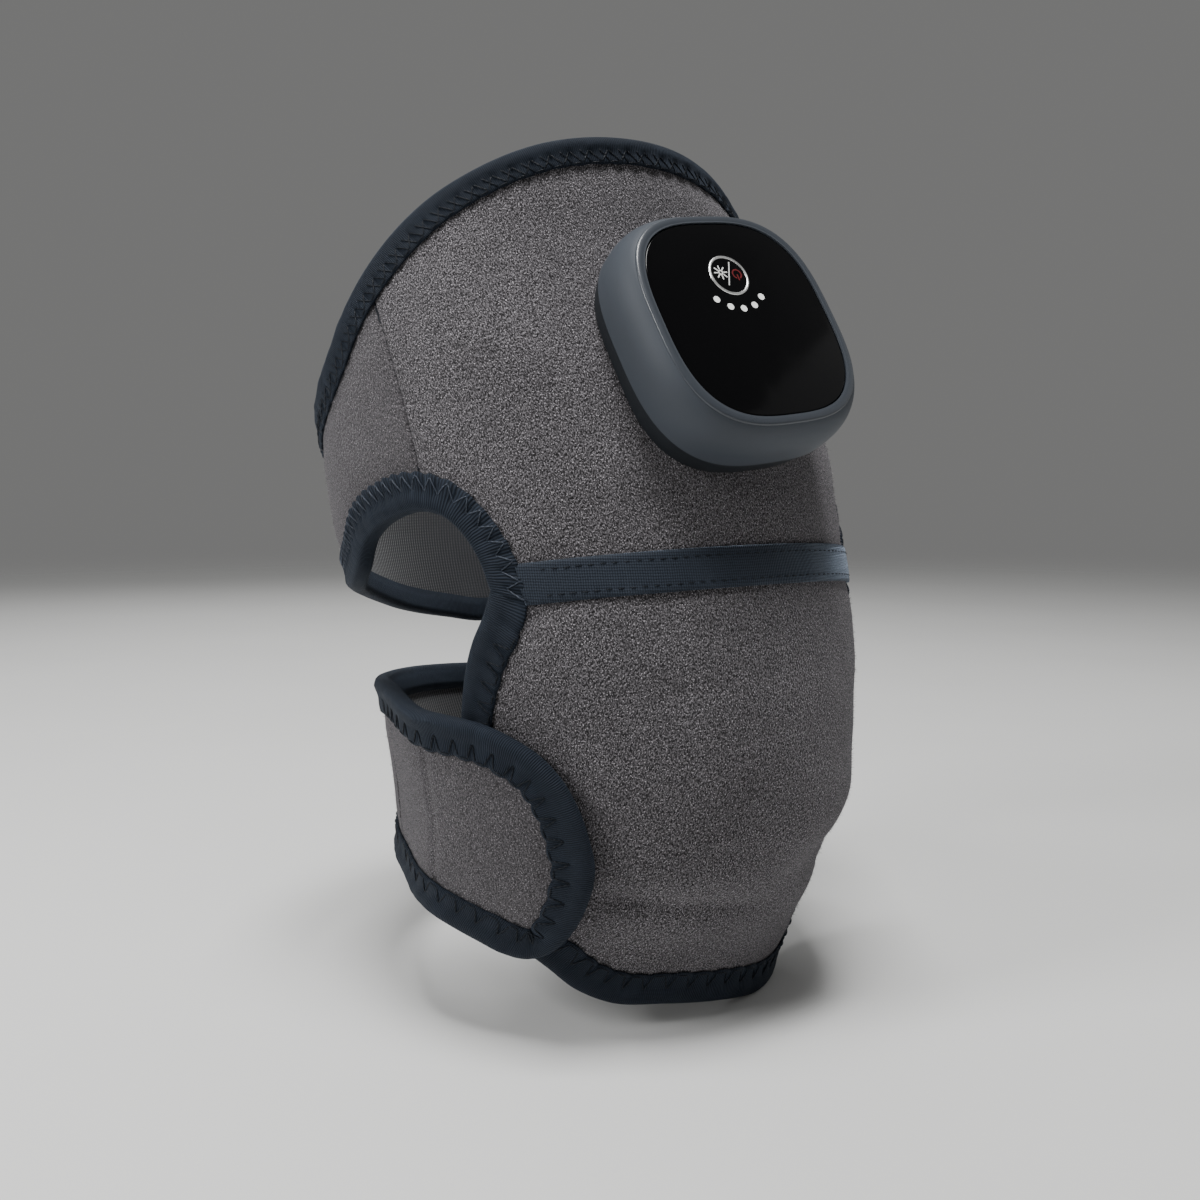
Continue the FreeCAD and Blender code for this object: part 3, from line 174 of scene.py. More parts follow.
def on_leg(angle, height, offset):
    """Points on the wrap, in metres."""
    angle, height, offset = np.broadcast_arrays(*(np.asarray(x, float) for x in (angle, height, offset)))
    offset = offset - drawn_in(angle, height)
    a = np.radians(angle)
    width, front, back = np.moveaxis(LEG(height), -1, 0)
    depth = (front + back) / 2 + offset
    return np.stack([-(width + offset) * np.sin(a), (back - front) / 2 - depth * np.cos(a), height], -1) * mm


def mm_per_degree(angle, height):
    width, front, back = np.moveaxis(LEG(height), -1, 0)
    a = np.radians(angle)
    return np.radians(np.hypot(width * np.cos(a), (front + back) / 2 * np.sin(a)))


class Outline:
    """A line through runs of (angle, height) points, smooth along each run and read from 0 to 1."""

    def __init__(self, *runs, mitres=()):
        self.runs, self.length, self.mitres = [], 0.0, mitres
        for run in runs:
            points = np.array(run, float)
            middle = (points[1:] + points[:-1]) / 2
            across = np.diff(points[:, 0]) * mm_per_degree(middle[:, 0], middle[:, 1])
            stops = np.concatenate([[0], np.cumsum(np.hypot(across, np.diff(points[:, 1])))])
            self.runs.append((self.length, Curve(stops, points)))
            self.length += stops[-1]

    def __call__(self, t):
        s = np.asarray(t, float) * self.length
        out = self.runs[0][1](s)
        for start, curve in self.runs[1:]:
            out = np.where((s >= start)[..., None], curve(s - start), out)
        return out[..., 0], out[..., 1]

    def near(self, angle, height):
        """The share of the line's length that is nearest to a place."""
        t = np.linspace(0, 1, 6000)
        a, h = self(t)
        return t[np.argmin(np.hypot((a - angle) * mm_per_degree(angle, height), h - height))]


def height_on(points, angle):
    return float(Curve(*zip(*points))(angle)[0])


def one_side(angle):
    """The same angle counted from the front the shorter way."""
    return angle if angle <= 180 else 360 - angle


def mirrored(points):
    return [(-a, h) for a, h in points]


def other_way(points):
    return list(reversed(points))


def whole_turn(points):
    return [(a + 360, h) for a, h in points]


def places_along(lines, more=0):
    """Places about every 1.5 mm along some outlines, in one list."""
    return np.concatenate([np.stack(line(np.linspace(0, 1, int(line.length / 1.5) + more)), -1)
                           for line in lines])


class Patch:
    """A four-sided piece of cloth between a bottom, top, right and left outline."""

    def __init__(self, bottom, top, right, left):
        self.bottom, self.top, self.right, self.left = bottom, top, right, left
        self.rim = places_along((bottom, top, right, left), 2)

    def __call__(self, u, v):
        u, v = np.broadcast_arrays(np.asarray(u, float), np.asarray(v, float))
        sides = self.bottom(u), self.top(u), self.right(v), self.left(v)
        corners = self.bottom(0), self.bottom(1), self.top(0), self.top(1)
        shares = (1 - u) * (1 - v), u * (1 - v), (1 - u) * v, u * v
        return tuple((1 - v) * sides[0][k] + v * sides[1][k] + (1 - u) * sides[2][k] + u * sides[3][k]
                     - sum(share * corner[k] for share, corner in zip(shares, corners)) for k in (0, 1))

    def from_edge(self, angle, height, rim=None):
        """How far places on the cloth are from the nearest outline, in mm."""
        rim = self.rim if rim is None else rim
        out = np.empty(angle.shape)
        for i in range(len(angle)):
            scale = mm_per_degree(angle[i], height[i])[:, None]
            across = (rim[None, :, 0] - angle[i][:, None]) * scale
            out[i] = np.hypot(across, rim[None, :, 1] - height[i][:, None]).min(1)
        return out

    def share_at(self, cut, v):
        """How far across the cloth an angle lies, at each v."""
        u = np.linspace(0, 1, 400)
        return np.array([np.interp(cut, self(u, row)[0], u) for row in v])


def lower_lift(angle):
    """How far the lower strap lies over the panel, in mm."""
    return STRAP_LIFT * (1 - smooth_step(angle, 76.0, 104.0))


def upper_lift(angle):
    """How far the upper strap lies over the wing, in mm."""
    return STRAP_LIFT * smooth_step(angle, 228.0, 253.0)


def no_lift(angle):
    return np.zeros_like(np.asarray(angle, float))


def ripple(a, b, size, seed):
    """Soft seeded unevenness between -1 and 1 over two coordinates in mm, with waves of about size."""
    dice = np.random.default_rng(seed)
    total = np.zeros(np.broadcast(a, b).shape)
    for k in range(7):
        turn, phase = dice.uniform(0, 2 * math.pi, 2)
        pitch = size * dice.uniform(0.7, 1.6)
        total = total + np.sin(2 * math.pi * (a * math.cos(turn) + b * math.sin(turn)) / pitch + phase)
    return total / 4.5


# ======================== meshes of cloth, tape and thread
def mesh_piece(name, points, faces, lie=None):
    """A smooth mesh piece, with the lie of its cloth, in metres, as its UV map."""
    mesh = bpy.data.meshes.new(name)
    mesh.from_pydata(np.asarray(points).reshape(-1, 3).tolist(), [], faces)
    if lie is not None:
        layer = mesh.uv_layers.new(name="lie")
        index = np.empty(len(mesh.loops), np.int32)
        mesh.loops.foreach_get("vertex_index", index)
        layer.data.foreach_set("uv", np.asarray(lie, np.float32).reshape(-1, 2)[index].ravel())
    mesh.shade_smooth()
    piece = bpy.data.objects.new(name, mesh)
    bpy.context.scene.collection.objects.link(piece)
    return piece


def grid_faces(columns, rows, start=0, flip=False):
    i, j = np.meshgrid(np.arange(columns - 1), np.arange(rows - 1), indexing="ij")
    a = (start + i * rows + j).ravel()
    quads = np.stack([a, a + 1, a + rows + 1, a + rows], -1)
    return (quads[:, ::-1] if flip else quads).tolist()


# The seam's radius is for one unbroken dark cord, which is thread and painted seam shadow both.
THREAD, BAND_THREAD, SEAM_THREAD_AND_SHADOW, HOOK_WIRE = (r * mm for r in (0.17, 0.13, 0.26, 0.11))     # radii
BACKS = {}      # name of a cloth piece: which of its faces are its inner side


def lie_of(angle, height):
    """Cloth coordinates in metres: round the leg and up it."""
    around = np.cumsum(np.diff(angle, axis=0, prepend=angle[:1]) * mm_per_degree(angle, height), axis=0)
    start = angle[:1] * mm_per_degree(angle[:1], height[:1])
    return np.stack([around + start, height], -1) * mm


def cloth_piece(name, angle, height, outer, inner):
    """A closed layer of cloth over a grid of angles and heights, between an outer and an inner offset."""
    lie = lie_of(angle, height)
    columns, rows = angle.shape
    count, side = columns * rows, (columns - 1) * (rows - 1)
    BACKS[name] = slice(side, 2 * side)
    faces = grid_faces(columns, rows) + grid_faces(columns, rows, count, flip=True)
    index = np.arange(count).reshape(columns, rows)
    rim = np.concatenate([index[0], index[1:, -1], index[-1, -2::-1], index[-2:0:-1, 0]]).tolist()
    for a, b in zip(rim, rim[1:] + rim[:1]):
        faces.append([b, a, a + count, b + count])
    skins = [on_leg(angle, height, offset).reshape(-1, 3) for offset in (outer, inner)]
    return mesh_piece(name, np.concatenate(skins), faces, np.concatenate([lie.reshape(-1, 2)] * 2))


# distance in from the edge and offset of the folded tape, outer and inner skin, front edge to back edge
TAPE_OUTER = [(8.7, 0.5), (8.3, 0.86), (7.3, 0.92), (6.3, 0.86), (5.3, 0.8), (4.4, 0.86), (3.5, 1.08),
              (2.5, 1.28), (1.4, 1.28), (0.4, 0.95), (-0.3, 0.25), (-0.62, -0.8), (-0.62, -2.0),
              (-0.3, -3.1), (0.5, -3.85), (1.9, -4.02), (4.4, -3.9), (6.8, -3.7)]
TAPE_INNER = [(8.5, 0.1), (8.0, 0.1), (7.2, 0.1), (6.2, 0.1), (5.2, 0.1), (4.3, 0.1), (3.4, 0.12),
              (2.5, 0.2), (1.6, 0.26), (1.0, 0.1), (0.72, -0.3), (0.66, -1.0), (0.66, -2.0),
              (0.72, -2.8), (1.1, -3.1), (2.2, -3.16), (4.4, -3.18), (6.7, -3.2)]


def along_tape(line, t):
    """Places along a tape's edge, the directions into the cloth, and the mm per degree there."""
    step = 1.2 / line.length
    a0, h0 = line(np.clip(t - step, 0, 1))
    a1, h1 = line(np.clip(t + step, 0, 1))
    angle, height = line(t)
    scale = mm_per_degree(angle, height)
    forward = np.stack([(a1 - a0) * scale, h1 - h0], -1)
    forward /= np.linalg.norm(forward, axis=-1, keepdims=True)
    across = np.stack([-forward[..., 1], forward[..., 0]], -1)
    for end, towards in line.mitres:
        near = 1 - smooth_step(np.abs(t - end) * line.length, 0.0, MITRE_REACH)[..., None]
        across = across * (1 - near) + np.array(towards) * near
    return angle, height, across / np.linalg.norm(across, axis=-1, keepdims=True), scale


def on_tape(line, t, inset, offset, lift):
    """Points on a tape, which is folded over less deeply along the top edge."""
    angle, height, across, scale = along_tape(line, t)
    inset = np.where(inset > 0, inset * (1 - 0.24 * smooth_step(height, 42, 70)), inset)
    angle = angle + across[..., 0] * inset / scale
    return on_leg(angle, height + across[..., 1] * inset, offset + lift(angle))


class Stitching:
    """How a tape is sewn: a zigzag of the given pitch between two distances in from the edge.

    The tape puffs up by gather between the stitches, and its inner edge is scalloped by frill.
    """

    def __init__(self, pitch, near, far, gather, frill, chevron=False, crossed=False):
        self.pitch, self.near, self.far, self.gather, self.frill = pitch, near, far, gather, frill
        self.chevron, self.crossed = chevron, crossed

    def puff(self, s, seed):
        """0 where a stitch pulls the tape down and up to 1 between, along the tape in mm."""
        uneven = 0.10 * ripple(s, 0, 14.0, seed)
        return np.abs(np.sin(math.pi * (s / self.pitch + 0.5 * (not self.chevron) + uneven))) ** 0.8


DENSE_ZIGZAG = Stitching(2.9, 4.1, 8.3, 0.78, 0.42)
WIDE_ZIGZAG = Stitching(5.6, 3.7, 8.0, 0.55, 0.26, crossed=True)
CHEVRONS = Stitching(6.0, 4.0, 8.1, 0.40, 0.30, chevron=True)


def tape_piece(name, line, start, end, stitching, lift, seed):
    """Tape folded over an edge, drawn in where its stitches pull."""
    count = int((end - start) * line.length / 0.42) + 2
    t = np.linspace(start, end, count)
    s = (t * line.length)[:, None]
    outer, inner = np.array(TAPE_OUTER).T, np.array(TAPE_INNER).T
    inset_out, offset_out = outer[0][None, :], outer[1][None, :]
    front = offset_out > 0.3
    puff = stitching.puff(s + 0.12 * (inset_out - 6.0), seed)
    frilled = smooth_step(inset_out, 5.5, 8.5) * front * stitching.frill
    inset = inset_out + frilled * (2 * puff - 1.1 + 0.4 * ripple(s, 0, 8.0, seed)) - 0.05
    sewn = smooth_step(inset_out, 3.0, 4.8) * front
    rounded = hill(inset_out - 1.6, 1.7) * front
    offset = offset_out + sewn * stitching.gather * (puff - 0.62)
    offset = offset + rounded * (0.17 * ripple(s, inset_out * 2, 7.0, seed + 1) + 0.10 * (puff - 0.6))
    offset = np.where(front & (inset_out > 2), np.maximum(offset, 0.34), offset)
    place = np.broadcast_to(t[:, None], inset.shape)
    skin = on_tape(line, place, inset, offset, lift)
    inside = on_tape(line, place, np.broadcast_to(inner[0], inset.shape), inner[1][None, :], lift)
    rows = len(TAPE_OUTER)
    ring = np.concatenate([skin, inside[:, ::-1]], 1)
    width = 2 * rows
    i, j = np.meshgrid(np.arange(count - 1), np.arange(width), indexing="ij")
    a, b = (i * width + j).ravel(), (i * width + (j + 1) % width).ravel()
    faces = np.stack([a, a + width, b + width, b], -1).tolist()
    for k in range(rows - 1):
        quad = [k, k + 1, width - 2 - k, width - 1 - k]
        faces.append(quad)
        faces.append([x + (count - 1) * width for x in reversed(quad)])
    steps = np.hypot(np.diff(outer[0]), np.diff(outer[1]))
    across = np.concatenate([[0], np.cumsum(steps)])
    across = np.concatenate([across, across[::-1]])
    lie = np.stack(np.broadcast_arrays(s, across[None, :]), -1) * mm
    piece = mesh_piece(name, ring, faces, lie)
    shell = bmesh.new()
    shell.from_mesh(piece.data)
    bmesh.ops.recalc_face_normals(shell, faces=shell.faces)
    shell.to_mesh(piece.data)
    shell.free()
    return piece


def thread_piece(name, paths, radius, sides=5):
    """Short lengths of thread, each a fine tube through its own few points, in metres."""
    points, faces, lie = [], [], []
    for path in paths:
        path = np.array(path)
        ahead = np.gradient(path, axis=0)
        ahead /= np.linalg.norm(ahead, axis=1, keepdims=True)
        side = np.cross(ahead, (0.31, 0.17, 0.94))
        side /= np.linalg.norm(side, axis=1, keepdims=True)
        up = np.cross(side, ahead)
        first = len(points)
        for k in range(len(path)):
            reach = radius * (0.75 if k in (0, len(path) - 1) else 1.0)
            for m in range(sides):
                a = 2 * math.pi * m / sides
                points.append(path[k] + reach * (math.cos(a) * side[k] + math.sin(a) * up[k]))
                lie.append((k * 0.0006, m * 0.0003))
        for k in range(len(path) - 1):
            for m in range(sides):
                a, b = first + k * sides + m, first + k * sides + (m + 1) % sides
                faces.append([a, b, b + sides, a + sides])
        last = first + (len(path) - 1) * sides
        faces.append([first + m for m in reversed(range(sides))])
        faces.append([last + m for m in range(sides)])
    return mesh_piece(name, points, faces, lie)


def stitch_paths(line, start, end, stitching, lift, seed, tape_seed):
    """The thread of a zigzag or of separate chevrons, lying on the tape and dipping at each hole."""
    dice = np.random.default_rng(seed)
    outer = np.array(TAPE_OUTER[:10])[::-1]
    paths = []
    first = math.ceil(start * line.length / stitching.pitch)
    last = math.floor(end * line.length / stitching.pitch)
    for k in range(first, last):
        s0 = k * stitching.pitch
        if stitching.chevron:
            wide = 0.26 * stitching.pitch
            corners = [(s0 - wide, stitching.far), (s0, stitching.near), (s0 + wide, stitching.far)]
            corners.append((s0 + stitching.pitch - wide, stitching.far))
        else:
            middle, over = s0 + 0.5 * stitching.pitch, s0 + stitching.pitch
            corners = [(s0, stitching.far), (middle, stitching.near), (over, stitching.far)]
            if stitching.crossed:
                corners += [(middle, stitching.far), (s0, stitching.near)]
        jitter = dice.normal(0, 0.07, len(corners))
        for (sa, ia), (sb, ib), slip in zip(corners, corners[1:], jitter):
            share = np.array([0, 0.12, 0.35, 0.65, 0.88, 1.0])
            height = np.array([-0.25, 0.06, 0.12, 0.12, 0.06, -0.25])
            s = sa + (sb - sa) * share
            inset = ia + (ib - ia) * share + slip
            if s[-1] > end * line.length or s[0] < start * line.length:
                continue
            lift_up = stitching.gather * (stitching.puff(s, tape_seed) - 0.62)
            offset = np.maximum(np.interp(inset, outer[:, 0], outer[:, 1]) + lift_up, 0.34) + height
            paths.append(on_tape(line, s / line.length, inset, offset, lift))
    return paths


# ======================== outlines of the panel, straps and tapes
def edge_run(points, start, end, count):
    """Points along an edge that is given on one side of the leg, for any run of angles."""
    angles = [start + (end - start) * i / count for i in range(count + 1)]
    return [(a, height_on(points, one_side(a))) for a in angles]


def panel_patch():
    top = mirrored(other_way(TOP_EDGE[:4])) + TOP_EDGE[1:4]
    left = Outline(other_way(LOWER_SIDE), CUTOUT_SIDE, SEAM)
    right = Outline(*(mirrored(run) for run in (other_way(FAR_LOWER_SIDE), CUTOUT_SIDE, SEAM)))
    return Patch(Outline(other_way(BOTTOM_EDGE)), Outline(top), right, left)


def upper_strap_edges():
    low = edge_run(STRAP_LOWER_EDGE, SEAM[0][0], UPPER_TAB_FOLD, 18) + UPPER_TAB_BOTTOM[1:]
    top = edge_run(TOP_EDGE, SEAM[-1][0], UPPER_TAB_FOLD, 18) + UPPER_TAB_TOP[1:]
    return low, top


def lower_strap_edges():
    runs = [[(a, height_on(points, a)) for a in np.linspace(points[0][0], points[-1][0], 19)]
            for points in (LOWER_STRAP_BOTTOM, LOWER_STRAP_TOP)]
    return other_way(LOWER_TAB_BOTTOM) + runs[0][1:], other_way(LOWER_TAB_TOP) + runs[1][1:]


def wing_edges():
    low = edge_run(STRAP_LOWER_EDGE, SEAM[0][0], WING_END - WING_CORNER, 5)
    top = edge_run(TOP_EDGE, SEAM[-1][0], WING_END - WING_CORNER, 4)
    low_z, top_z = low[-1][1], top[-1][1]
    end = [low[-1], (WING_END - 1.5, low_z + 6), (WING_END, low_z + 14), (WING_END, top_z - 14),
           (WING_END - 1.5, top_z - 6), top[-1]]
    return low, end, top


def upper_tape_line():
    """Round the left cut-out, the upper strap, the top edge, the wing and the right cut-out."""
    low, top = upper_strap_edges()
    front = other_way(TOP_EDGE[:3]) + mirrored(TOP_EDGE[1:3])
    wing_low, wing_end, wing_top = (mirrored(points) for points in wing_edges())
    path = CUTOUT_SIDE + low[1:] + other_way(top) + front + wing_top + other_way(wing_end)[1:-1]
    return Outline(path + other_way(wing_low) + mirrored(other_way(CUTOUT_SIDE))[1:],
                   mitres=[(0.0, (-MITRE[0], MITRE[1])), (1.0, MITRE)])


def lower_tape_line():
    """Round the far side, the lower strap and its tab, the bottom edge and the left side."""
    low, top = lower_strap_edges()
    bottom = whole_turn(other_way(BOTTOM_EDGE)[1:-1])
    path = whole_turn(mirrored(LOWER_SIDE[:4])) + ROOT_TOP_TURN + other_way(top)[1:] + low[:-1]
    return Outline(path + ROOT_BOTTOM_TURN + bottom + whole_turn(other_way(LOWER_SIDE)),
                   mitres=[(0.0, MITRE), (1.0, (-MITRE[0], MITRE[1]))])


PANEL = panel_patch()
UPPER_TAPE, LOWER_TAPE = upper_tape_line(), lower_tape_line()


# ======================== pod frame
def pod_matrix():
    out = Vector((math.sin(POD_YAW) * math.cos(POD_PITCH), -math.cos(POD_YAW) * math.cos(POD_PITCH),
                  math.sin(POD_PITCH)))
    up = Vector((-math.sin(POD_YAW) * math.sin(POD_PITCH), math.cos(POD_YAW) * math.sin(POD_PITCH),
                 math.cos(POD_PITCH)))
    right = up.cross(out)
    x = right * math.cos(POD_ROLL) + up * math.sin(POD_ROLL)
    y = up * math.cos(POD_ROLL) - right * math.sin(POD_ROLL)
    return Matrix.Translation(POD_CENTRE) @ Matrix((x, y, out)).transposed().to_4x4()


POD = pod_matrix()


def pod_reach(points):
    """How far points on the wrap lie outside the pod's foot, in mm, below 0 under the pod."""
    local = (points - np.array(POD_CENTRE)) @ np.array(POD.to_3x3()) / mm
    x, y = np.abs(local[..., 0]) / (FACE_WIDTH + FOOT_GROW), np.abs(local[..., 1]) / (FACE_HEIGHT + FOOT_GROW)
    around = (x ** FACE_SQUARENESS + y ** FACE_SQUARENESS) ** (1 / FACE_SQUARENESS)
    return (around - 1) * (FACE_WIDTH + FOOT_GROW)


# ======================== the padded panel
SWELLING_CLOTH = {
    "quality": 6, "mass": 0.35, "tension_stiffness": 18, "compression_stiffness": 18,
    "bending_stiffness": 0.6, "vertex_group_mass": "held", "pin_stiffness": 1.0,
    "use_pressure": True, "uniform_pressure_force": 1.2, "shrink_min": -0.015,
}
SWELLING_STEPS = 20
COARSE = 3      # every so many columns and rows of the cover are let swell, and the rest read between them


def band_height(angle):
    """The height of the knee band's middle, which sags towards its ends."""
    return BAND_CENTRE - BAND_DROP * (angle / BAND_END) ** 2


def free_of_fixings(angle, height, edge):
    """1 where the panel's cloth is free to swell and 0 where tape, band, pod or seam hold it down."""
    points = on_leg(angle, height, 0)
    pod = smooth_step(pod_reach(points), -1.0, 9.0)
    band = smooth_step(np.abs(height - band_height(angle)), BAND_WIDTH / 2 - 0.6, BAND_WIDTH / 2 + 5.0)
    band = np.where(np.abs(angle) < BAND_END + 2, band, 1.0)
    return smooth_step(edge, TAPE_FRONT - 1.2, TAPE_FRONT + 6.5) * pod * band


def swelled(angle, height, hold):
    """How far the cover comes out, in mm, as it swells over its padding as cloth, held where hold is 1."""
    columns, rows = angle.shape
    points = on_leg(angle, height, 0.0)
    sheet = mesh_piece("cover_swelling", points, grid_faces(columns, rows))
    held = sheet.vertex_groups.new(name="held")
    for index, weight in enumerate(hold.ravel()):
        held.add([index], float(weight), "REPLACE")
    cloth = sheet.modifiers.new("swelling", "CLOTH")
    for name, value in SWELLING_CLOTH.items():
        setattr(cloth.settings, name, value)
    cloth.settings.effector_weights.gravity = 0
    cloth.collision_settings.use_self_collision = False
    scene = bpy.context.scene
    for step in range(1, SWELLING_STEPS + 1):
        scene.frame_set(step)
    graph = bpy.context.evaluated_depsgraph_get()
    moved = np.empty(columns * rows * 3, np.float32)
    sheet.evaluated_get(graph).data.vertices.foreach_get("co", moved)
    scene.frame_set(1)
    bpy.data.objects.remove(sheet)
    turn = np.radians(angle)
    outwards = np.stack([-np.sin(turn), -np.cos(turn), 0 * turn], -1)
    out = ((moved.reshape(columns, rows, 3) - points) * outwards).sum(-1) / mm
    return np.clip(out, -0.4, 1.5)


def seam_angle(height):
    """The angle at which the upper strap is sewn to the panel, at a height."""
    return np.interp(height, [p[1] for p in SEAM], [p[0] for p in SEAM])


def panel_grid(columns, rows):
    """The panel's cloth as grids of angle and height, in from its outlines where tape is folded over them."""
    v = np.linspace(0, 1, rows)
    height = PANEL.left(v)[1]
    sewn = smooth_step(height, SEAM[0][1], SEAM[0][1] + 4.0)
    rooted = smooth_step(height, -87.0, -83.0) * (1 - smooth_step(height, -39.0, -35.0))
    left_in, right_in = ((CLOTH_INSET + (SEWN_INSET - CLOTH_INSET) * held) / PANEL_WIDTH
                         for held in (sewn, np.maximum(sewn, rooted)))
    share = np.linspace(0, 1, columns)[:, None]
    u = right_in[None, :] + (1 - left_in - right_in)[None, :] * share
    v_in = 1.7 / PANEL_HEIGHT
    return PANEL(u, (v_in + (1 - 2 * v_in) * v)[None, :])


def creases(angle, height):
    """The pinch at the inner side of the shin and the soft creases that run from it under the tab, in mm."""
    inner = 1 - smooth_step(angle, -22, 2)
    pinch = 1.3 * hill(height + 60, 7.5) - 2.6 * hill(height + 76, 6.5)
    above = height + 80.0 - 0.16 * (angle - 20)
    across = smooth_step(angle, -14, 10) * (1 - smooth_step(angle, 36, 46))
    fold = 0.8 * hill(above + 7.5, 4.0) + 0.5 * hill(above - 8.0, 4.5) - 1.3 * hill(above, 2.6)
    under_band = -0.5 * hill(height + 24 + 0.15 * angle, 4.0)
    under_band = under_band * smooth_step(angle, -30, 5) * (1 - smooth_step(angle, 20, 44))
    return inner * pinch + across * fold + under_band


def panel_cover():
    """The loop-cloth cover: swelled over its padding, creased, and sunk along its seams."""
    angle, height = panel_grid(150, 214)
    edge = PANEL.from_edge(angle, height)
    free = free_of_fixings(angle, height, edge)
    coarse = np.s_[::COARSE, ::COARSE]
    hold = 1 - np.clip(free[coarse] * 1.15, 0, 1)
    small = evened(swelled(angle[coarse], height[coarse], hold), 10)
    swell = spread(small, angle.shape) * np.clip(free * 1.4, 0, 1)
    up = np.linspace(SEAM[0][1], SEAM[-1][1], 60)
    seam_line = np.stack([seam_angle(up), up], -1)
    to_seam = np.minimum(*(PANEL.from_edge(angle, height, seam_line * (way, 1)) for way in (1, -1)))
    outer = 0.2 * free + 0.75 * swell - SEAM_GROOVE * hill(to_seam, GROOVE_WIDTH)
    around = angle * AROUND
    outer += free * (0.28 * ripple(around, height, 46.0, 3) + 0.10 * ripple(around, height, 15.0, 5))
    outer = np.maximum(outer + free * creases(angle, height), PADDING_LEVEL)
    return cloth_piece("panel_cover", angle, height, outer, np.minimum(-COVER, outer - 0.6))


def evened(values, times):
    """A grid of values, each drawn towards its neighbours a number of times."""
    for _ in range(times):
        wide = np.pad(values, 1, mode="edge")
        around = wide[:-2, 1:-1] + wide[2:, 1:-1] + wide[1:-1, :-2] + wide[1:-1, 2:]
        values = values / 2 + around / 8
    return values


def spread(small, shape):
    """A coarse grid of values read over a finer one."""
    for axis in (0, 1):
        last = small.shape[axis] - 1
        place = np.clip(np.arange(shape[axis]) / COARSE, 0, last)
        i = np.minimum(place.astype(int), last - 1)
        share = np.expand_dims(smooth_step(place - i, 0, 1), 1 - axis)
        small = np.take(small, i, axis) * (1 - share) + np.take(small, i + 1, axis) * share
    return small


def panel_lining():
    """The knit against the skin, pressed in by the padding and softly uneven."""
    angle, height = panel_grid(110, 160)
    edge = PANEL.from_edge(angle, height)
    depth = STRAP + LINING_DEPTH * smooth_step(edge, 8.0, 22.0)
    quilt = 0.25 * ripple(angle * AROUND, height, 38.0, 11) * smooth_step(edge, 10.0, 24.0)
    return cloth_piece("panel_lining", angle, height, quilt - depth + LINING, quilt - depth)


# ======================== the straps
def strap_piece(name, patch, lift, start, end, seed, groove, depth):
    """One length of strap cloth between two shares of its patch, crowned between its bound edges.

    It sinks to a depth where it is sewn, at the angle that groove gives for each height.
    """
    columns = max(12, int(float(np.mean(end) - np.mean(start)) * patch.bottom.length / 1.25))
    share = np.linspace(0, 1, columns)[:, None]
    angle, height = patch(start + (end - start) * share, ACROSS_STRAP[None, :])
    edge = patch.from_edge(angle, height, places_along((patch.bottom, patch.top)))
    scale = mm_per_degree(angle, height)
    free = smooth_step(edge, TAPE_FRONT - 1.0, TAPE_FRONT + 6.0)
    outer = 0.6 * free + 0.28 * free * ripple(angle * scale, height, 30.0, seed)
    outer = outer - depth * hill((angle - groove(height)) * scale, GROOVE_WIDTH)
    return cloth_piece(name, angle, height, lift(angle) + outer, lift(angle) - STRAP)


def upper_strap_patch():
    low, top = upper_strap_edges()
    return Patch(Outline(low), Outline(top), Outline(SEAM), Outline([low[-1], top[-1]]))


def root_side():
    """The panel's far side between the two corners of the lower strap's root."""
    side = Outline(FAR_LOWER_SIDE)
    points = np.stack(side(np.linspace(0, 1, 51)), -1)
    inner = [tuple(p) for p in points if STRAP_ROOT[-1][1] + 1 < p[1] < STRAP_ROOT[0][1] - 1]
    return whole_turn(mirrored(other_way([STRAP_ROOT[0]] + inner + [STRAP_ROOT[-1]])))


def lower_strap_patch():
    low, top = lower_strap_edges()
    return Patch(Outline(low), Outline(top), Outline([low[0], top[0]]), Outline(root_side()))


def wing_patch():
    low, end, top = (mirrored(points) for points in wing_edges())
    return Patch(Outline(other_way(low)), Outline(other_way(top)), Outline(end), Outline(mirrored(SEAM)))


def straps():
    """Every length of strap cloth, by name."""
    upper, lower, wing = upper_strap_patch(), lower_strap_patch(), wing_patch()
    upper_cut, lower_cut = upper.share_at(UPPER_JOIN, ACROSS_STRAP), lower.share_at(LOWER_JOIN, ACROSS_STRAP)
    upper_long, lower_long = upper.bottom.length, lower.bottom.length
    rows = {
        "upper_strap": (upper, upper_lift, -SEAM_LAP / upper_long, upper_cut, seam_angle, SEAM_GROOVE),
        "upper_tab": (upper, upper_lift, upper_cut, 1 - CLOTH_INSET / upper_long, seam_angle, 0.0),
        "lower_tab": (lower, lower_lift, CLOTH_INSET / lower_long, lower_cut, lambda height: LOWER_TAB_FOLD,
                      FOLD_GROOVE),
        "lower_strap": (lower, lower_lift, lower_cut, 1 + SEAM_LAP / lower_long, seam_angle, 0.0),
        "upper_wing": (wing, no_lift, 0.022, 1.006, lambda height: -seam_angle(height), SEAM_GROOVE),
    }
    made = {}
    for seed, (name, (patch, lift, start, end, groove, depth)) in enumerate(rows.items(), 21):
        made[name] = strap_piece(name + "_cloth", patch, lift, start, end, seed, groove, depth)
    return made


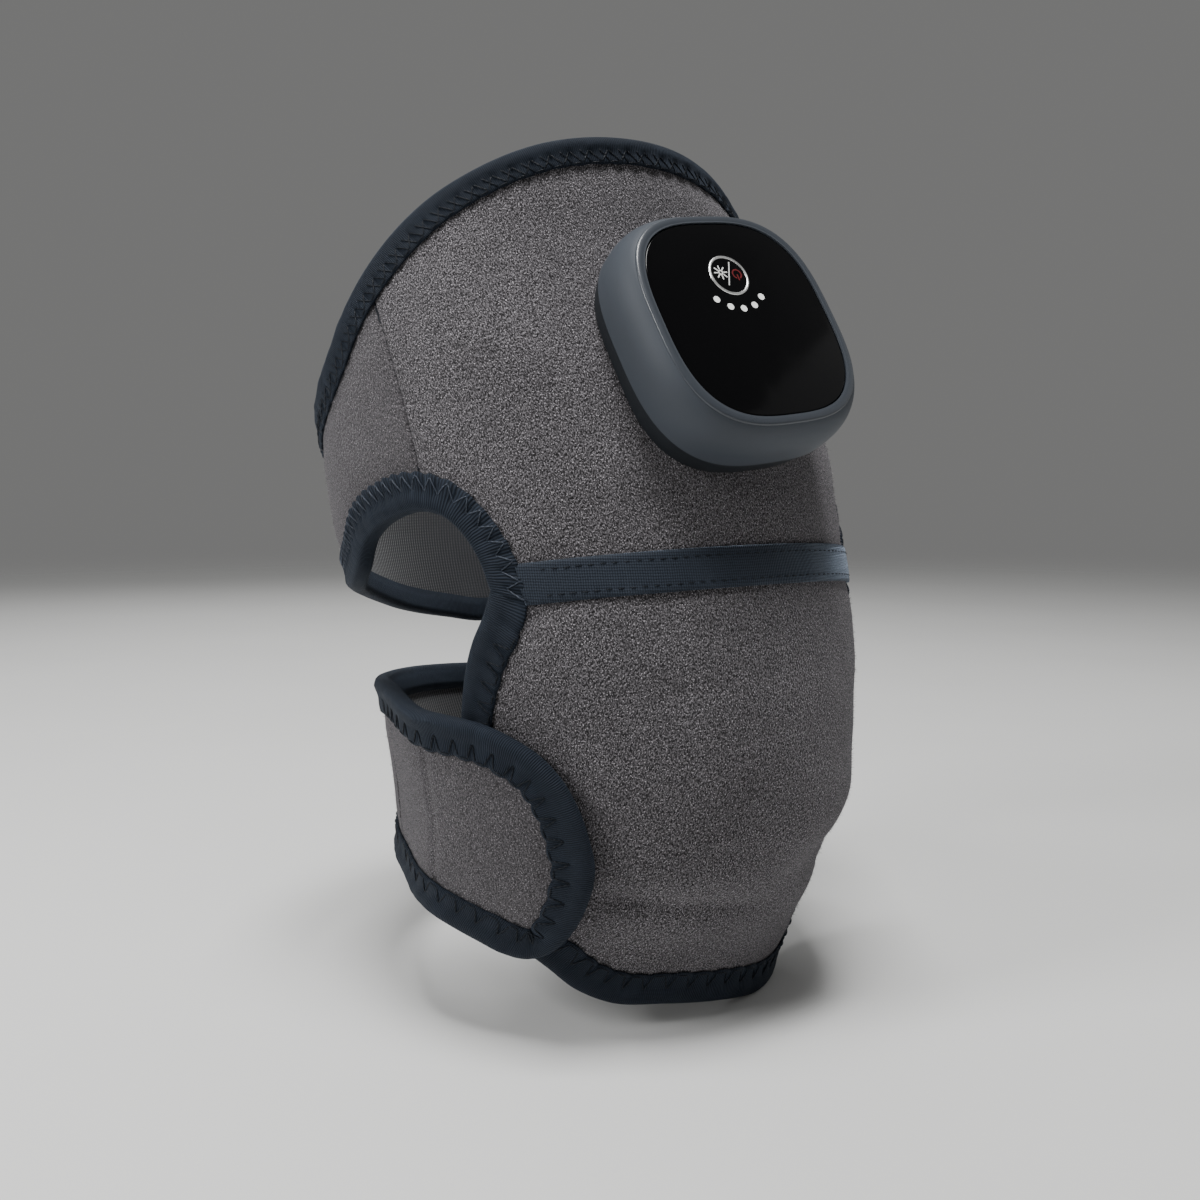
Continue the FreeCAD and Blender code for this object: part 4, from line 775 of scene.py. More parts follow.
# ======================== tapes
# each length of tape: its name, stitching, lift, what carries it and the CAD nodes that it stands for
UPPER_TAPES = [
    ("left_cutout_tape", DENSE_ZIGZAG, upper_lift, "wrap", ["left_cutout_binding"]),
    ("upper_strap_low_tape", WIDE_ZIGZAG, upper_lift, "upper_strap", []),
    ("upper_tab_tape", CHEVRONS, upper_lift, "upper_tab", ["upper_tab_binding"]),
    ("upper_strap_top_tape", WIDE_ZIGZAG, upper_lift, "upper_strap", ["upper_free_section_binding"]),
    ("top_edge_tape", WIDE_ZIGZAG, no_lift, "wrap", ["top_edge_binding"]),
]
LOWER_TAPES = [
    ("right_cutout_tape", DENSE_ZIGZAG, no_lift, "wrap", ["right_cutout_binding"]),
    ("lower_strap_top_tape", CHEVRONS, lower_lift, "lower_strap", ["lower_free_section_binding"]),
    ("lower_tab_tape", CHEVRONS, lower_lift, "lower_tab", ["lower_tab_binding"]),
    ("lower_strap_low_tape", CHEVRONS, lower_lift, "lower_strap", []),
    ("lower_edge_tape", CHEVRONS, no_lift, "wrap", ["lower_edge_binding"]),
]
UPPER_PANEL_JOIN, LOWER_PANEL_JOIN = 120, 220       # where the straps' tapes meet the panel's


def tapes():
    """Makes each length of tape and its stitches, with what carries them and the nodes they stand for."""
    upper_cuts = [UPPER_TAPE.near(angle, height_on(edge, one_side(angle))) for edge, angle in (
        (STRAP_LOWER_EDGE, UPPER_PANEL_JOIN), (STRAP_LOWER_EDGE, UPPER_JOIN), (TOP_EDGE, UPPER_JOIN),
        (TOP_EDGE, UPPER_PANEL_JOIN))]
    lower_cuts = [LOWER_TAPE.near(angle, height_on(edge, angle)) for edge, angle in (
        (LOWER_STRAP_TOP, LOWER_PANEL_JOIN), (LOWER_STRAP_TOP, LOWER_JOIN), (LOWER_STRAP_BOTTOM, LOWER_JOIN),
        (LOWER_STRAP_BOTTOM, LOWER_PANEL_JOIN))]
    made, seed = [], 40
    for line, cuts, rows in ((UPPER_TAPE, upper_cuts, UPPER_TAPES), (LOWER_TAPE, lower_cuts, LOWER_TAPES)):
        for start, end, (name, stitching, lift, how, replaced) in zip([0.0] + cuts, cuts + [1.0], rows):
            tape = tape_piece(name, line, start, end, stitching, lift, seed)
            paths = stitch_paths(line, start, end, stitching, lift, 20 + seed, seed)
            made.append((tape, thread_piece(name + "_stitches", paths, THREAD), how, replaced))
            seed += 1
    return made


def band_lap(angle):
    """How much higher the band lies where its two ends lap, in mm."""
    return 0.28 * smooth_step(-angle, -29.0, -28.2)


def knee_band():
    """The flat band across the knee, with a lapped join, and its two rows of running stitches."""
    columns, rows = 180, 14
    angle = np.linspace(-BAND_END - 2.2, BAND_END + 2.2, columns)[:, None]
    v = np.linspace(-1, 1, rows)[None, :]
    height = band_height(angle) + v * BAND_WIDTH / 2
    outer = 0.95 - 0.3 * np.abs(v) ** 8 + band_lap(angle) + 0.10 * ripple(angle * AROUND, v * 4, 16.0, 31)
    outer = outer - 0.12 * hill(np.abs(v) - BAND_SEWN, 0.1)
    angle, height, outer = np.broadcast_arrays(angle, height, outer)
    band = cloth_piece("knee_band_tape", angle, height, outer, 0.1)
    paths = []
    for side in (-1, 1):
        place = -BAND_END + 0.5
        while place < BAND_END - 2:
            a = np.linspace(place, place + 1.55, 4)
            offset = np.array([0.7, 0.99, 0.99, 0.7]) + band_lap(a)
            paths.append(on_leg(a, band_height(a) + side * BAND_SEWN * BAND_WIDTH / 2, offset))
            place += 2.3
    return band, thread_piece("knee_band_stitches", paths, BAND_THREAD)


# ======================== hook fields
HOOK_COLUMNS, HOOK_ROWS = 11, 32
HOOK_GAP, HOOK_BASE = 0.15, 0.35        # between the tab's cloth and the field, and the field's thickness


def hook_field(name, low, high, lift):
    """A moulded hook patch: a thin base with rows of small bent hooks on its inner face."""
    patch = Patch(Outline(low), Outline(high), Outline([low[0], high[0]]), Outline([low[-1], high[-1]]))
    u, v = np.linspace(0, 1, 24)[:, None], np.linspace(0, 1, 30)[None, :]
    angle, height = patch(u, v)
    face = lift(angle) - STRAP - HOOK_GAP
    base = cloth_piece(name, angle, height, face, face - HOOK_BASE)
    u, v = np.meshgrid(np.linspace(0.04, 0.96, HOOK_COLUMNS), np.linspace(0.03, 0.97, HOOK_ROWS),
                       indexing="ij")
    angle, height = patch(u, v)
    step = np.array([0.0, 0.0, 0.14, 0.34])
    rise = np.array([-0.3, -0.62, -0.82, -0.72])
    paths = []
    for a, h in zip(angle.ravel(), height.ravel()):
        scale = mm_per_degree(a, h)
        paths.append(on_leg(a + step / scale, h, lift(a) - STRAP - HOOK_GAP + rise))
    return base, thread_piece(name + "_hooks", paths, HOOK_WIRE, sides=4)


# ======================== pod pieces modelled as by hand
def deselected():
    bpy.ops.object.select_all(action="DESELECT")


def in_mode(mode, pick=None):
    """Turns to editing the active piece's mesh or back to the piece, and selects or deselects its mesh."""
    bpy.ops.object.mode_set(mode=mode)
    if pick:
        bpy.ops.mesh.select_all(action=pick)


def modelled(name, smooth_angle):
    """Names the active new piece, moves its place into its mesh and shades it."""
    piece = bpy.context.object
    piece.name = piece.data.name = name
    bpy.ops.object.transform_apply(location=True, rotation=True, scale=True)
    bpy.ops.object.shade_smooth_by_angle(angle=math.radians(smooth_angle))
    piece.data.transform(POD)
    return piece


def face_edge(x, y, grow):
    """How far out the face's rounded square, made larger by grow, lies in the direction of a point, in mm."""
    reach = math.hypot(x, y)
    return ((abs(x) / reach / (FACE_WIDTH + grow)) ** FACE_SQUARENESS
            + (abs(y) / reach / (FACE_HEIGHT + grow)) ** FACE_SQUARENESS) ** (-1 / FACE_SQUARENESS)


def punched(piece, x, y, radius):
    """Cuts a round hole through a piece."""
    bpy.ops.mesh.primitive_cylinder_add(vertices=72, radius=radius * mm, depth=8 * mm,
                                        location=(x * mm, y * mm, 0))
    punch = bpy.context.object
    bpy.context.view_layer.objects.active = piece
    cut = piece.modifiers.new("hole", "BOOLEAN")
    cut.object, cut.operation, cut.solver = punch, "DIFFERENCE", "EXACT"
    bpy.ops.object.modifier_apply(modifier="hole")
    bpy.data.objects.remove(punch)
    piece.select_set(True)


def light_places():
    turns = [math.radians(a) for a in LIGHT_ANGLES]
    return [(LIGHT_CIRCLE * math.sin(turn), BUTTON_HEIGHT - LIGHT_CIRCLE * math.cos(turn)) for turn in turns]


def glossy_face():
    """The black face plate, with a softly turned edge and holes for the ring and the lights."""
    deselected()
    bpy.ops.mesh.primitive_circle_add(vertices=160, radius=1, fill_type="NGON")
    piece = bpy.context.object
    for vertex in piece.data.vertices:
        x, y = vertex.co.xy
        edge = face_edge(x, y, -0.05)
        vertex.co = x * edge * mm, y * edge * mm, 0
    in_mode("EDIT", "SELECT")
    bpy.ops.transform.translate(value=(0, 0, -FACE_THICKNESS * mm))
    bpy.ops.mesh.extrude_region_move(TRANSFORM_OT_translate={"value": (0, 0, FACE_THICKNESS * mm)})
    bpy.ops.mesh.select_all(action="SELECT")
    bpy.ops.mesh.remove_doubles(threshold=1e-6)
    bpy.ops.mesh.normals_make_consistent(inside=False)
    in_mode("OBJECT")
    edge = piece.modifiers.new("turned edge", "BEVEL")
    edge.width, edge.segments, edge.limit_method, edge.angle_limit = 0.45 * mm, 4, "ANGLE", math.radians(50)
    bpy.ops.object.modifier_apply(modifier="turned edge")
    punched(piece, 0, BUTTON_HEIGHT, RING_RADIUS + RING_WIDTH / 2 + 0.02)
    for x, y in light_places():
        punched(piece, x, y, LIGHT_RADIUS + 0.03)
    return modelled("glossy_face", 30)


# how far past the face and how high the housing's lip goes, from its outer foot over the top to the inner one
LIP = [(2.26, -0.55), (2.20, -0.16), (2.05, 0.06), (1.78, 0.17), (1.2, 0.26), (0.6, 0.28),
       (0.27, 0.18), (0.13, -0.05), (0.13, -0.6), (0.6, -0.95), (1.4, -0.95), (2.0, -0.9)]


def rim_lip():
    """The flat lip of the housing round the face, with a crisp outer edge."""
    deselected()
    bpy.ops.mesh.primitive_torus_add(major_segments=240, minor_segments=len(LIP), major_radius=1,
                                     minor_radius=0.1)
    for vertex in bpy.context.object.data.vertices:
        grow, rise = LIP[vertex.index % len(LIP)]
        x, y = vertex.co.xy.normalized()
        edge = face_edge(x, y, grow)
        vertex.co = x * edge * mm, y * edge * mm, rise * mm
    return modelled("rim_lip", 60)


def button_ring():
    """The bright metal ring round the button, rounded over and let into the face."""
    deselected()
    bpy.ops.mesh.primitive_torus_add(major_segments=120, minor_segments=16, major_radius=RING_RADIUS * mm,
                                     minor_radius=RING_WIDTH / 2 * mm,
                                     location=(0, BUTTON_HEIGHT * mm, -0.12 * mm))
    in_mode("EDIT", "DESELECT")
    in_mode("OBJECT")
    for vertex in bpy.context.object.data.vertices:
        vertex.select = vertex.co.z < -0.01 * mm
    in_mode("EDIT")
    bpy.ops.transform.translate(value=(0, 0, -0.9 * mm))
    in_mode("OBJECT")
    return modelled("button_ring", 60)


# ======================== finishes
class Value:
    """An output of a node; arithmetic on it adds Math nodes to its finish."""

    def __init__(self, finish, socket):
        self.finish, self.socket = finish, socket

    def maths(self, operation, *values):
        return self.finish.node("Math", {"operation": operation}, dict(enumerate(values)))

    def __add__(self, other):
        return self.maths("ADD", self, other)

    def __radd__(self, other):
        return self.maths("ADD", other, self)

    def __sub__(self, other):
        return self.maths("SUBTRACT", self, other)

    def __rsub__(self, other):
        return self.maths("SUBTRACT", other, self)

    def __mul__(self, other):
        return self.maths("MULTIPLY", self, other)

    def sine(self, pitch):
        """Swings between -1 and 1 once over each pitch."""
        return self.maths("SINE", self * (2 * math.pi / pitch))

    def waves(self, pitch):
        """Swings between 0 and 1 once over each pitch."""
        return self.sine(pitch) * 0.5 + 0.5

    def fade(self, low, high):
        """0 at low and 1 at high, smooth between."""
        return self.finish.node("MapRange", {"interpolation_type": "SMOOTHSTEP"},
                                {"Value": self, "From Min": low, "From Max": high})


class Finish:
    """A material built node by node round one Principled shader."""

    def __init__(self, name):
        self.material = bpy.data.materials.new(name)
        self.material.use_nodes = True
        self.tree = self.material.node_tree
        self.shader = self.tree.nodes["Principled BSDF"]

    def node(self, kind, settings=None, sockets=None, output=0):
        """Adds a node, sets it up, fills its sockets and returns one of its outputs."""
        made = self.tree.nodes.new("ShaderNode" + kind)
        for key, value in (settings or {}).items():
            setattr(made, key, value)
        for key, value in (sockets or {}).items():
            self.fill(made.inputs[key], value)
        return Value(self, made.outputs[output])

    def fill(self, socket, value):
        """Links a value that varies to a socket, or sets a constant on it."""
        if isinstance(value, Value):
            self.tree.links.new(value.socket, socket)
        else:
            socket.default_value = value

    def surface(self, **sockets):
        for key, value in sockets.items():
            self.fill(self.shader.inputs[key.replace("_", " ")], value)
        return self.material

    def lie(self):
        return self.node("UVMap", {"uv_map": "lie"})

    def place(self):
        return self.node("TexCoord", output="Object")

    def part(self, vector, axis):
        """The x, y or z of a vector, as 0, 1 or 2."""
        return self.node("SeparateXYZ", {}, {0: vector}, axis)

    def noise(self, where, scale, detail=2.0, roughness=0.5, output=0):
        return self.node("TexNoise", {}, {"Vector": where, "Scale": scale, "Detail": detail,
                                          "Roughness": roughness}, output)

    def cells(self, where, scale, randomness=1.0):
        return self.node("TexVoronoi", {}, {"Vector": where, "Scale": scale, "Randomness": randomness})

    def stretched(self, where, x, y, z=1.0):
        return self.node("Mapping", {}, {"Vector": where, "Scale": (x, y, z)})

    def vectors(self, operation, first, sockets=None, output=0):
        return self.node("VectorMath", {"operation": operation}, {0: first, **(sockets or {})}, output)

    def drifted(self, where, scale, reach):
        """Coordinates pushed about by noise, so that a regular pattern turns uneven."""
        push = self.vectors("SUBTRACT", self.noise(where, scale, output=1), {1: (0.5, 0.5, 0.5)})
        return self.vectors("ADD", where, {1: self.vectors("SCALE", push, {"Scale": reach})})

    def mix(self, factor, a, b):
        return self.node("Mix", {"data_type": "RGBA", "clamp_factor": True}, {0: factor, 6: a, 7: b}, 2)

    def worn(self, base, scale, low, high, colour):
        """A base with faint patches of another colour."""
        return self.mix(self.noise(self.lie(), scale, 3.0).fade(low, high) * 0.3, base, colour)

    def relief(self, height, depth):
        return self.node("Bump", {}, {"Height": height, "Distance": depth, "Strength": 1.0})


def toned(colour, tone=1.0):
    """A colour made darker or lighter, as a node's colour socket takes it."""
    return tuple(c * tone for c in colour) + (1.0,)


def warm(grey):
    """A grey with the cloth's faint plum cast."""
    return toned((1.045, 0.985, 1.05), grey)


def loop_cloth(name, tone, contrast):
    """Heather grey loop pile: small crooked loops with light and dark fibres."""
    f = Finish(name)
    lie = f.lie()
    leaning = f.node("Mapping", {}, {"Vector": lie, "Rotation": (0, 0, 0.5), "Scale": (1.0, 0.62, 1.0)})
    bent = f.drifted(leaning, 800.0, 0.0006)
    loops = f.cells(bent, 2400.0)
    kinks = f.noise(bent, 5000.0, 2.0, 0.6)
    clumps = f.noise(lie, 420.0, 2.0, 0.6)
    patches = f.noise(lie, 38.0, 2.0)
    mottle = f.noise(bent, 3000.0, 1.0, 0.5)
    dark, middle, light, bright = (tone * g for g in (0.016, 0.072, 0.21, 0.72))
    # Towards the gaps between the loop cells the colour is painted darker: painted shade in the low parts of
    # the pile.
    base = f.mix(loops.fade(0.1, 0.9) * contrast, warm(middle), warm(0.55 * dark + 0.45 * middle))
    base = f.mix(mottle.fade(0.44, 0.66) * (0.9 * contrast), base, warm(light))
    base = f.mix((1 - mottle).fade(0.5, 0.68) * (0.95 * contrast), base, warm(dark))
    sparkle = f.noise(lie, 2900.0, 1.0)
    base = f.mix(sparkle.fade(0.61, 0.72) * (0.9 * contrast), base, warm(bright))
    base = f.mix(patches.fade(0.35, 0.7) * 0.12, base, warm(dark))
    height = (1 - loops) * 0.5 + kinks * 0.4 + clumps * 0.25 + mottle * 0.7
    return f.surface(Base_Color=base, Roughness=0.95, Specular_IOR_Level=0.12, Sheen_Weight=0.22,
                     Sheen_Roughness=0.4, Sheen_Tint=(0.8, 0.78, 0.82, 1),
                     Normal=f.relief(height, 0.00025 + 0.00035 * contrast))


def lining_cloth(name):
    """Smooth dark knit against the skin, with fine wales."""
    f = Finish(name)
    lie = f.drifted(f.lie(), 300.0, 0.0003)
    wales, courses = f.part(lie, 0).waves(0.0011), f.part(lie, 1).waves(0.0009)
    knit = wales * 0.6 + wales * courses * 0.4
    base = f.mix(knit, (0.011, 0.012, 0.015, 1), (0.034, 0.036, 0.043, 1))
    base = f.worn(base, 40.0, 0.45, 0.75, (0.05, 0.052, 0.06, 1))
    return f.surface(Base_Color=base, Roughness=0.85, Sheen_Weight=0.2, Sheen_Roughness=0.5,
                     Normal=f.relief(knit, 0.00018))


def ribbed_tape(name):
    """Navy binding: fine ribs across the tape, slightly uneven, with painted shade in their grooves, painted
    light on their crests and a soft satin sheen on them.
    """
    f = Finish(name)
    ribs = f.part(f.drifted(f.lie(), 180.0, 0.0006), 0).waves(0.00052)
    yarn = f.noise(f.stretched(f.lie(), 2600.0, 700.0), 1.0)
    lit = (0.0172, 0.0240, 0.0364)
    # The ribs mix a painted-shade navy in their grooves with the painted-lit navy on their crests; the yarn
    # noise adds the tape's own unevenness.
    base = f.mix(ribs * 0.7 + yarn * 0.35, (0.00224, 0.00352, 0.00624, 1), toned(lit))
    base = f.worn(base, 120.0, 0.5, 0.8, toned(lit, 1.5))
    return f.surface(Base_Color=base, Roughness=0.62 + yarn * 0.2, Specular_IOR_Level=0.14, Sheen_Weight=0.06,
                     Sheen_Roughness=0.35, Sheen_Tint=(0.55, 0.68, 0.9, 1),
                     Normal=f.relief(ribs * 0.8 + yarn * 0.5, 0.0002))


def woven_band(name):
    """The knee band: close plain weave with ribs both ways, with painted shade in its hollows and painted
    light on its raised threads.
    """
    f = Finish(name)
    lie = f.drifted(f.lie(), 200.0, 0.00035)
    weave = f.part(lie, 0).waves(0.00058) * 0.6 + f.part(lie, 1).waves(0.00066) * 0.4
    # Painted shade in the weave's hollows and painted light on its raised threads.
    base = f.mix(weave, (0.0055, 0.0080, 0.0130, 1), (0.027, 0.036, 0.052, 1))
    base = f.worn(base, 90.0, 0.5, 0.8, (0.035, 0.044, 0.06, 1))
    return f.surface(Base_Color=base, Roughness=0.65, Specular_IOR_Level=0.18, Sheen_Weight=0.6,
                     Sheen_Roughness=0.3, Sheen_Tint=(0.6, 0.72, 0.9, 1), Normal=f.relief(weave, 0.00014))


def loose_fibre(name):
    """Single fibres of the pile, lighter and darker at random."""
    f = Finish(name)
    shade = f.noise(f.place(), 900.0, 1.0)
    base = f.mix(shade.fade(0.35, 0.65), warm(0.07), warm(0.34))
    return f.surface(Base_Color=base, Roughness=0.9, Specular_IOR_Level=0.1)


def sewing_thread(name, tone):
    """Twisted navy thread with a slight gloss."""
    f = Finish(name)
    twist = (f.part(f.lie(), 0) + f.part(f.lie(), 1) * 1.6).waves(0.0007)
    base = f.mix(twist, toned((0.004, 0.005, 0.008), tone), toned((0.018, 0.023, 0.032), tone))
    return f.surface(Base_Color=base, Roughness=0.5, Specular_IOR_Level=0.1 + 0.08 * tone,
                     Normal=f.relief(twist, 0.00006))


def moulded(name, colour, roughness, grain=0.00002, grain_scale=2600.0, **more):
    """Moulded plastic or rubber: a fine spark-eroded grain, slight cloudiness and polished high spots."""
    f = Finish(name)
    place = f.place()
    fine = f.noise(place, grain_scale, 3.0, 0.6)
    cloud = f.noise(place, 35.0, 3.0)
    base = f.mix(cloud.fade(0.3, 0.75) * 0.35, toned(colour), toned(colour, 1.18))
    rough = roughness + (cloud - 0.5) * 0.12 + (fine - 0.5) * 0.08
    return f.surface(Base_Color=base, Roughness=rough, Normal=f.relief(fine, grain), **more)


def polished_black(name):
    """The face: deep black clear-coated sheet with faint smears."""
    f = Finish(name)
    smear = f.noise(f.stretched(f.place(), 1.0, 0.6, 2.4), 60.0, 4.0, 0.55)
    dust = f.noise(f.place(), 5200.0, 1.0)
    base = f.mix(dust.fade(0.74, 0.8) * 0.25, (0.0022, 0.0022, 0.0026, 1), (0.05, 0.05, 0.055, 1))
    return f.surface(Base_Color=base, Roughness=0.10 + smear.fade(0.45, 0.8) * 0.06, Specular_IOR_Level=0.14)


def metal(name, colour, roughness, stretch=(1.0, 1.0, 8.0)):
    """Drawn or turned metal with fine lines."""
    f = Finish(name)
    lines = f.noise(f.stretched(f.place(), *stretch), 900.0, 3.0)
    base = f.mix(lines, toned(colour, 0.85), toned(colour))
    return f.surface(Base_Color=base, Metallic=1.0, Roughness=roughness + (lines - 0.5) * 0.15,
                     Normal=f.relief(lines, 0.00001))


def printed(name, colour, glow):
    """Printed or lit marks, slightly uneven in the ink."""
    f = Finish(name)
    ink = f.noise(f.place(), 3200.0, 2.0)
    base = f.mix(ink.fade(0.35, 0.75) * 0.3, toned(colour), toned(colour, 0.8))
    return f.surface(Base_Color=base, Roughness=0.35 + ink * 0.1, Emission_Color=base, Emission_Strength=glow)


def foam_finish(name):
    """Open-celled foam."""
    f = Finish(name)
    cell = f.cells(f.place(), 1400.0)
    base = f.mix(cell, (0.62, 0.60, 0.52, 1), (0.30, 0.29, 0.24, 1))
    return f.surface(Base_Color=base, Roughness=0.95, Normal=f.relief(1 - cell, 0.0003))


def film_finish(name):
    """The heating film: amber sheet with the dark meander of its track."""
    f = Finish(name)
    track = f.part(f.place(), 2).sine(0.006).fade(0.55, 0.75)
    base = f.mix(track, (0.45, 0.20, 0.035, 1), (0.05, 0.03, 0.02, 1))
    return f.surface(Base_Color=base, Roughness=0.3 + track * 0.3, Normal=f.relief(track, 0.00004))


def board_finish(name):
    """Green circuit board with brighter copper runs under the mask."""
    f = Finish(name)
    runs = f.cells(f.place(), 260.0, 0.4)
    mask = f.noise(f.place(), 1800.0, 2.0)
    base = f.mix(runs.fade(0.35, 0.45), (0.012, 0.11, 0.035, 1), (0.008, 0.055, 0.02, 1))
    return f.surface(Base_Color=base, Roughness=0.32 + mask * 0.12,
                     Normal=f.relief(runs.fade(0.3, 0.5), 0.00003))


def nodes_finished():
    """Gives every CAD node that stays its finish, and returns those of the lip and the face."""
    gloss = polished_black("glossy_black")
    finishes = {
        "front_housing": moulded("slate_housing", (0.040, 0.047, 0.058), 0.58, 0.000016, 3400.0,
                                 Specular_IOR_Level=0.32),
        "back_housing": moulded("dark_under_shell", (0.009, 0.011, 0.014), 0.6, 0.00003, 2400.0,
                                Specular_IOR_Level=0.3),
        "power_button": gloss,
        # The white sun mark is print made to glow a little: painted glow.
        "button_sun_mark": printed("white_print_painted_glow", (0.80, 0.80, 0.78), 0.1),
        "button_power_mark": printed("red_print", (0.13, 0.007, 0.010), 0.0),
        "level_light_pipes": printed("light_pipe_white", (0.86, 0.86, 0.84), 0.4),
        "button_clip": metal("clip_steel", (0.60, 0.60, 0.58), 0.35),
        "indicator_leds": printed("led_body", (0.75, 0.74, 0.62), 0.0),
        "main_circuit_board": board_finish("circuit_board"),
        "tactile_switch": moulded("switch_body", (0.02, 0.02, 0.02), 0.45),
        "usb_c_socket": metal("socket_shell", (0.62, 0.62, 0.63), 0.28, (1.0, 6.0, 1.0)),
        "board_connectors": moulded("connector_plastic", (0.66, 0.64, 0.56), 0.5),
        "lithium_battery": moulded("battery_wrap", (0.05, 0.16, 0.34), 0.35, 0.00003, 900.0),
        "housing_screws": metal("screw_steel", (0.42, 0.42, 0.43), 0.35),
        "clamp_plate": moulded("clamp_plastic", (0.025, 0.027, 0.03), 0.55),
        "clamp_screws": metal("clamp_screw_steel", (0.42, 0.42, 0.43), 0.38),
        "cable_grommet": moulded("grommet_rubber", (0.012, 0.012, 0.013), 0.8, 0.00005, 1500.0),
        "foam_padding": foam_finish("foam"),
        "heating_film": film_finish("heater_film"),
        "wire_harness": moulded("wire_sheath", (0.02, 0.021, 0.024), 0.6, 0.00003, 1600.0),
    }
    steel = metal("motor_steel", (0.58, 0.58, 0.60), 0.3)
    weight = metal("motor_weight", (0.30, 0.29, 0.28), 0.45)
    for side in ("left", "right"):
        finishes[side + "_motor_case"] = finishes[side + "_motor_lid"] = steel
        finishes[side + "_motor_rotor"] = weight
    for name, finish in finishes.items():
        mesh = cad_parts[name].data
        mesh.materials.clear()
        mesh.materials.append(finish)
    lip = moulded("polished_lip", (0.037, 0.043, 0.053), 0.3, 0.000006, 3400.0, Specular_IOR_Level=0.5)
    return lip, gloss


# ======================== putting it together
# each fold: the bodies before and after it, its strap's edges and lift, its angle, the bend's reach and way
UPPER_EDGES = STRAP_LOWER_EDGE, TOP_EDGE, upper_lift
LOWER_EDGES = LOWER_STRAP_BOTTOM, LOWER_STRAP_TOP, lower_lift
BENDS = {
    "upper_strap": ("wrap", "upper_strap_free", *UPPER_EDGES, UPPER_STRAP_FOLD, 8.0, (0.9, -0.43, 0)),
    "upper_tab": ("upper_strap_free", "upper_tab", *UPPER_EDGES, UPPER_TAB_FOLD, 7.0, (0.41, -0.91, 0)),
    "lower_strap": ("wrap", "lower_strap_free", *LOWER_EDGES, LOWER_STRAP_FOLD, 8.0, (-0.9, -0.45, 0)),
    "lower_tab": ("lower_strap_free", "lower_tab", *LOWER_EDGES, LOWER_TAB_FOLD, 7.0, (0.17, -0.98, 0)),
}


def carried(piece, how):
    """Rides on a body by name; a piece that lies across a strap's fold only has its place baked into its
    mesh, and is not bent.
    """
    if how not in BENDS:
        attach(piece, how)
        return
    before, after, low, top, lift, angle, reach, way = BENDS[how]
    height = sum(height_on(edge, one_side(angle)) for edge in (low, top)) / 2
    middle = Vector(on_leg(angle, height, float(lift(angle)) - STRAP / 2))
    step = Vector(way).normalized() * reach * mm
    middle - step
    middle + step
    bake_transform(piece)


def dressed(piece, finish, how, replaced=(), back=None):
    """Gives a piece its finish, what carries it and the nodes that it stands for."""
    piece.data.materials.append(finish)
    if back:
        piece.data.materials.append(back)
        side = np.zeros(len(piece.data.polygons), np.int32)
        side[BACKS[piece.name]] = 1
        piece.data.polygons.foreach_set("material_index", side)
    carried(piece, how)
    if replaced:
        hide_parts(*replaced)
    return piece


PANEL_FIBRES, STRAP_FIBRES = 30000, 4000


def soft_goods():
    """The panel, straps, tapes and hook fields."""
    cloth = loop_cloth("panel_loop_cloth", 0.8, 1.0)
    strap_cloth = loop_cloth("strap_loop_cloth", 0.84, 0.5)
    tape_finish, thread = ribbed_tape("navy_binding"), sewing_thread("navy_thread", 0.8)
    # A lighter copy of the navy thread for the cut-out stitches: painted glint where the satin thread catches
    # the light.
    painted_glint_thread = sewing_thread("navy_thread_painted_glint", 3.2)
    knit, fibre = lining_cloth("lining_knit"), loose_fibre("cloth_fibre")
    cover = dressed(panel_cover(), cloth, "wrap", ["outer_cover"])
    dressed(fibres(cover, PANEL_FIBRES, 71), fibre, "wrap")
    lining = dressed(panel_lining(), knit, "wrap", ["lining"])
    # Each seam gets a dark cord of thread that also paints the seam's shadow line.
    for side in (1, -1):
        dressed(seam_thread_and_shadow(side), thread, "wrap")
    band, rows = knee_band()
    dressed(band, woven_band("navy_band"), "wrap", ["knee_band"])
    dressed(rows, thread, "wrap")

    for seed, (name, piece) in enumerate(straps().items(), 80):
        how = "wrap" if name == "upper_wing" else name
        replaced = [name, name + "_free_section"] if name.endswith("strap") else [name]
        dressed(piece, strap_cloth, how, replaced, knit)
        loose = dressed(fibres(piece, STRAP_FIBRES, seed), fibre, how)

    for tape, stitches, how, replaced in tapes():
        dressed(tape, tape_finish, how, replaced)
        # The cut-out stitches get the lighter thread copy, a painted glint.
        dressed(stitches, painted_glint_thread if "cutout" in tape.name else thread, how)
        tape_length(tape)

    hooks = moulded("hook_plastic", (0.03, 0.033, 0.038), 0.5, 0.00002, 1800.0)
    for body, lift, angles, low, high in (
            ("lower_tab", lower_lift, (54, 58, 62), (-83, -83, -82), (-53, -49, -46)),
            ("upper_tab", upper_lift, (259, 265, 271), (5, 9.5, 15), (36, 39.5, 43))):
        edges = [list(zip(angles, heights)) for heights in (low, high)]
        base, field = hook_field(body + "_hook_base", *edges, lift)
        dressed(base, hooks, body, [body + "_hooks"])
        dressed(field, hooks, body)


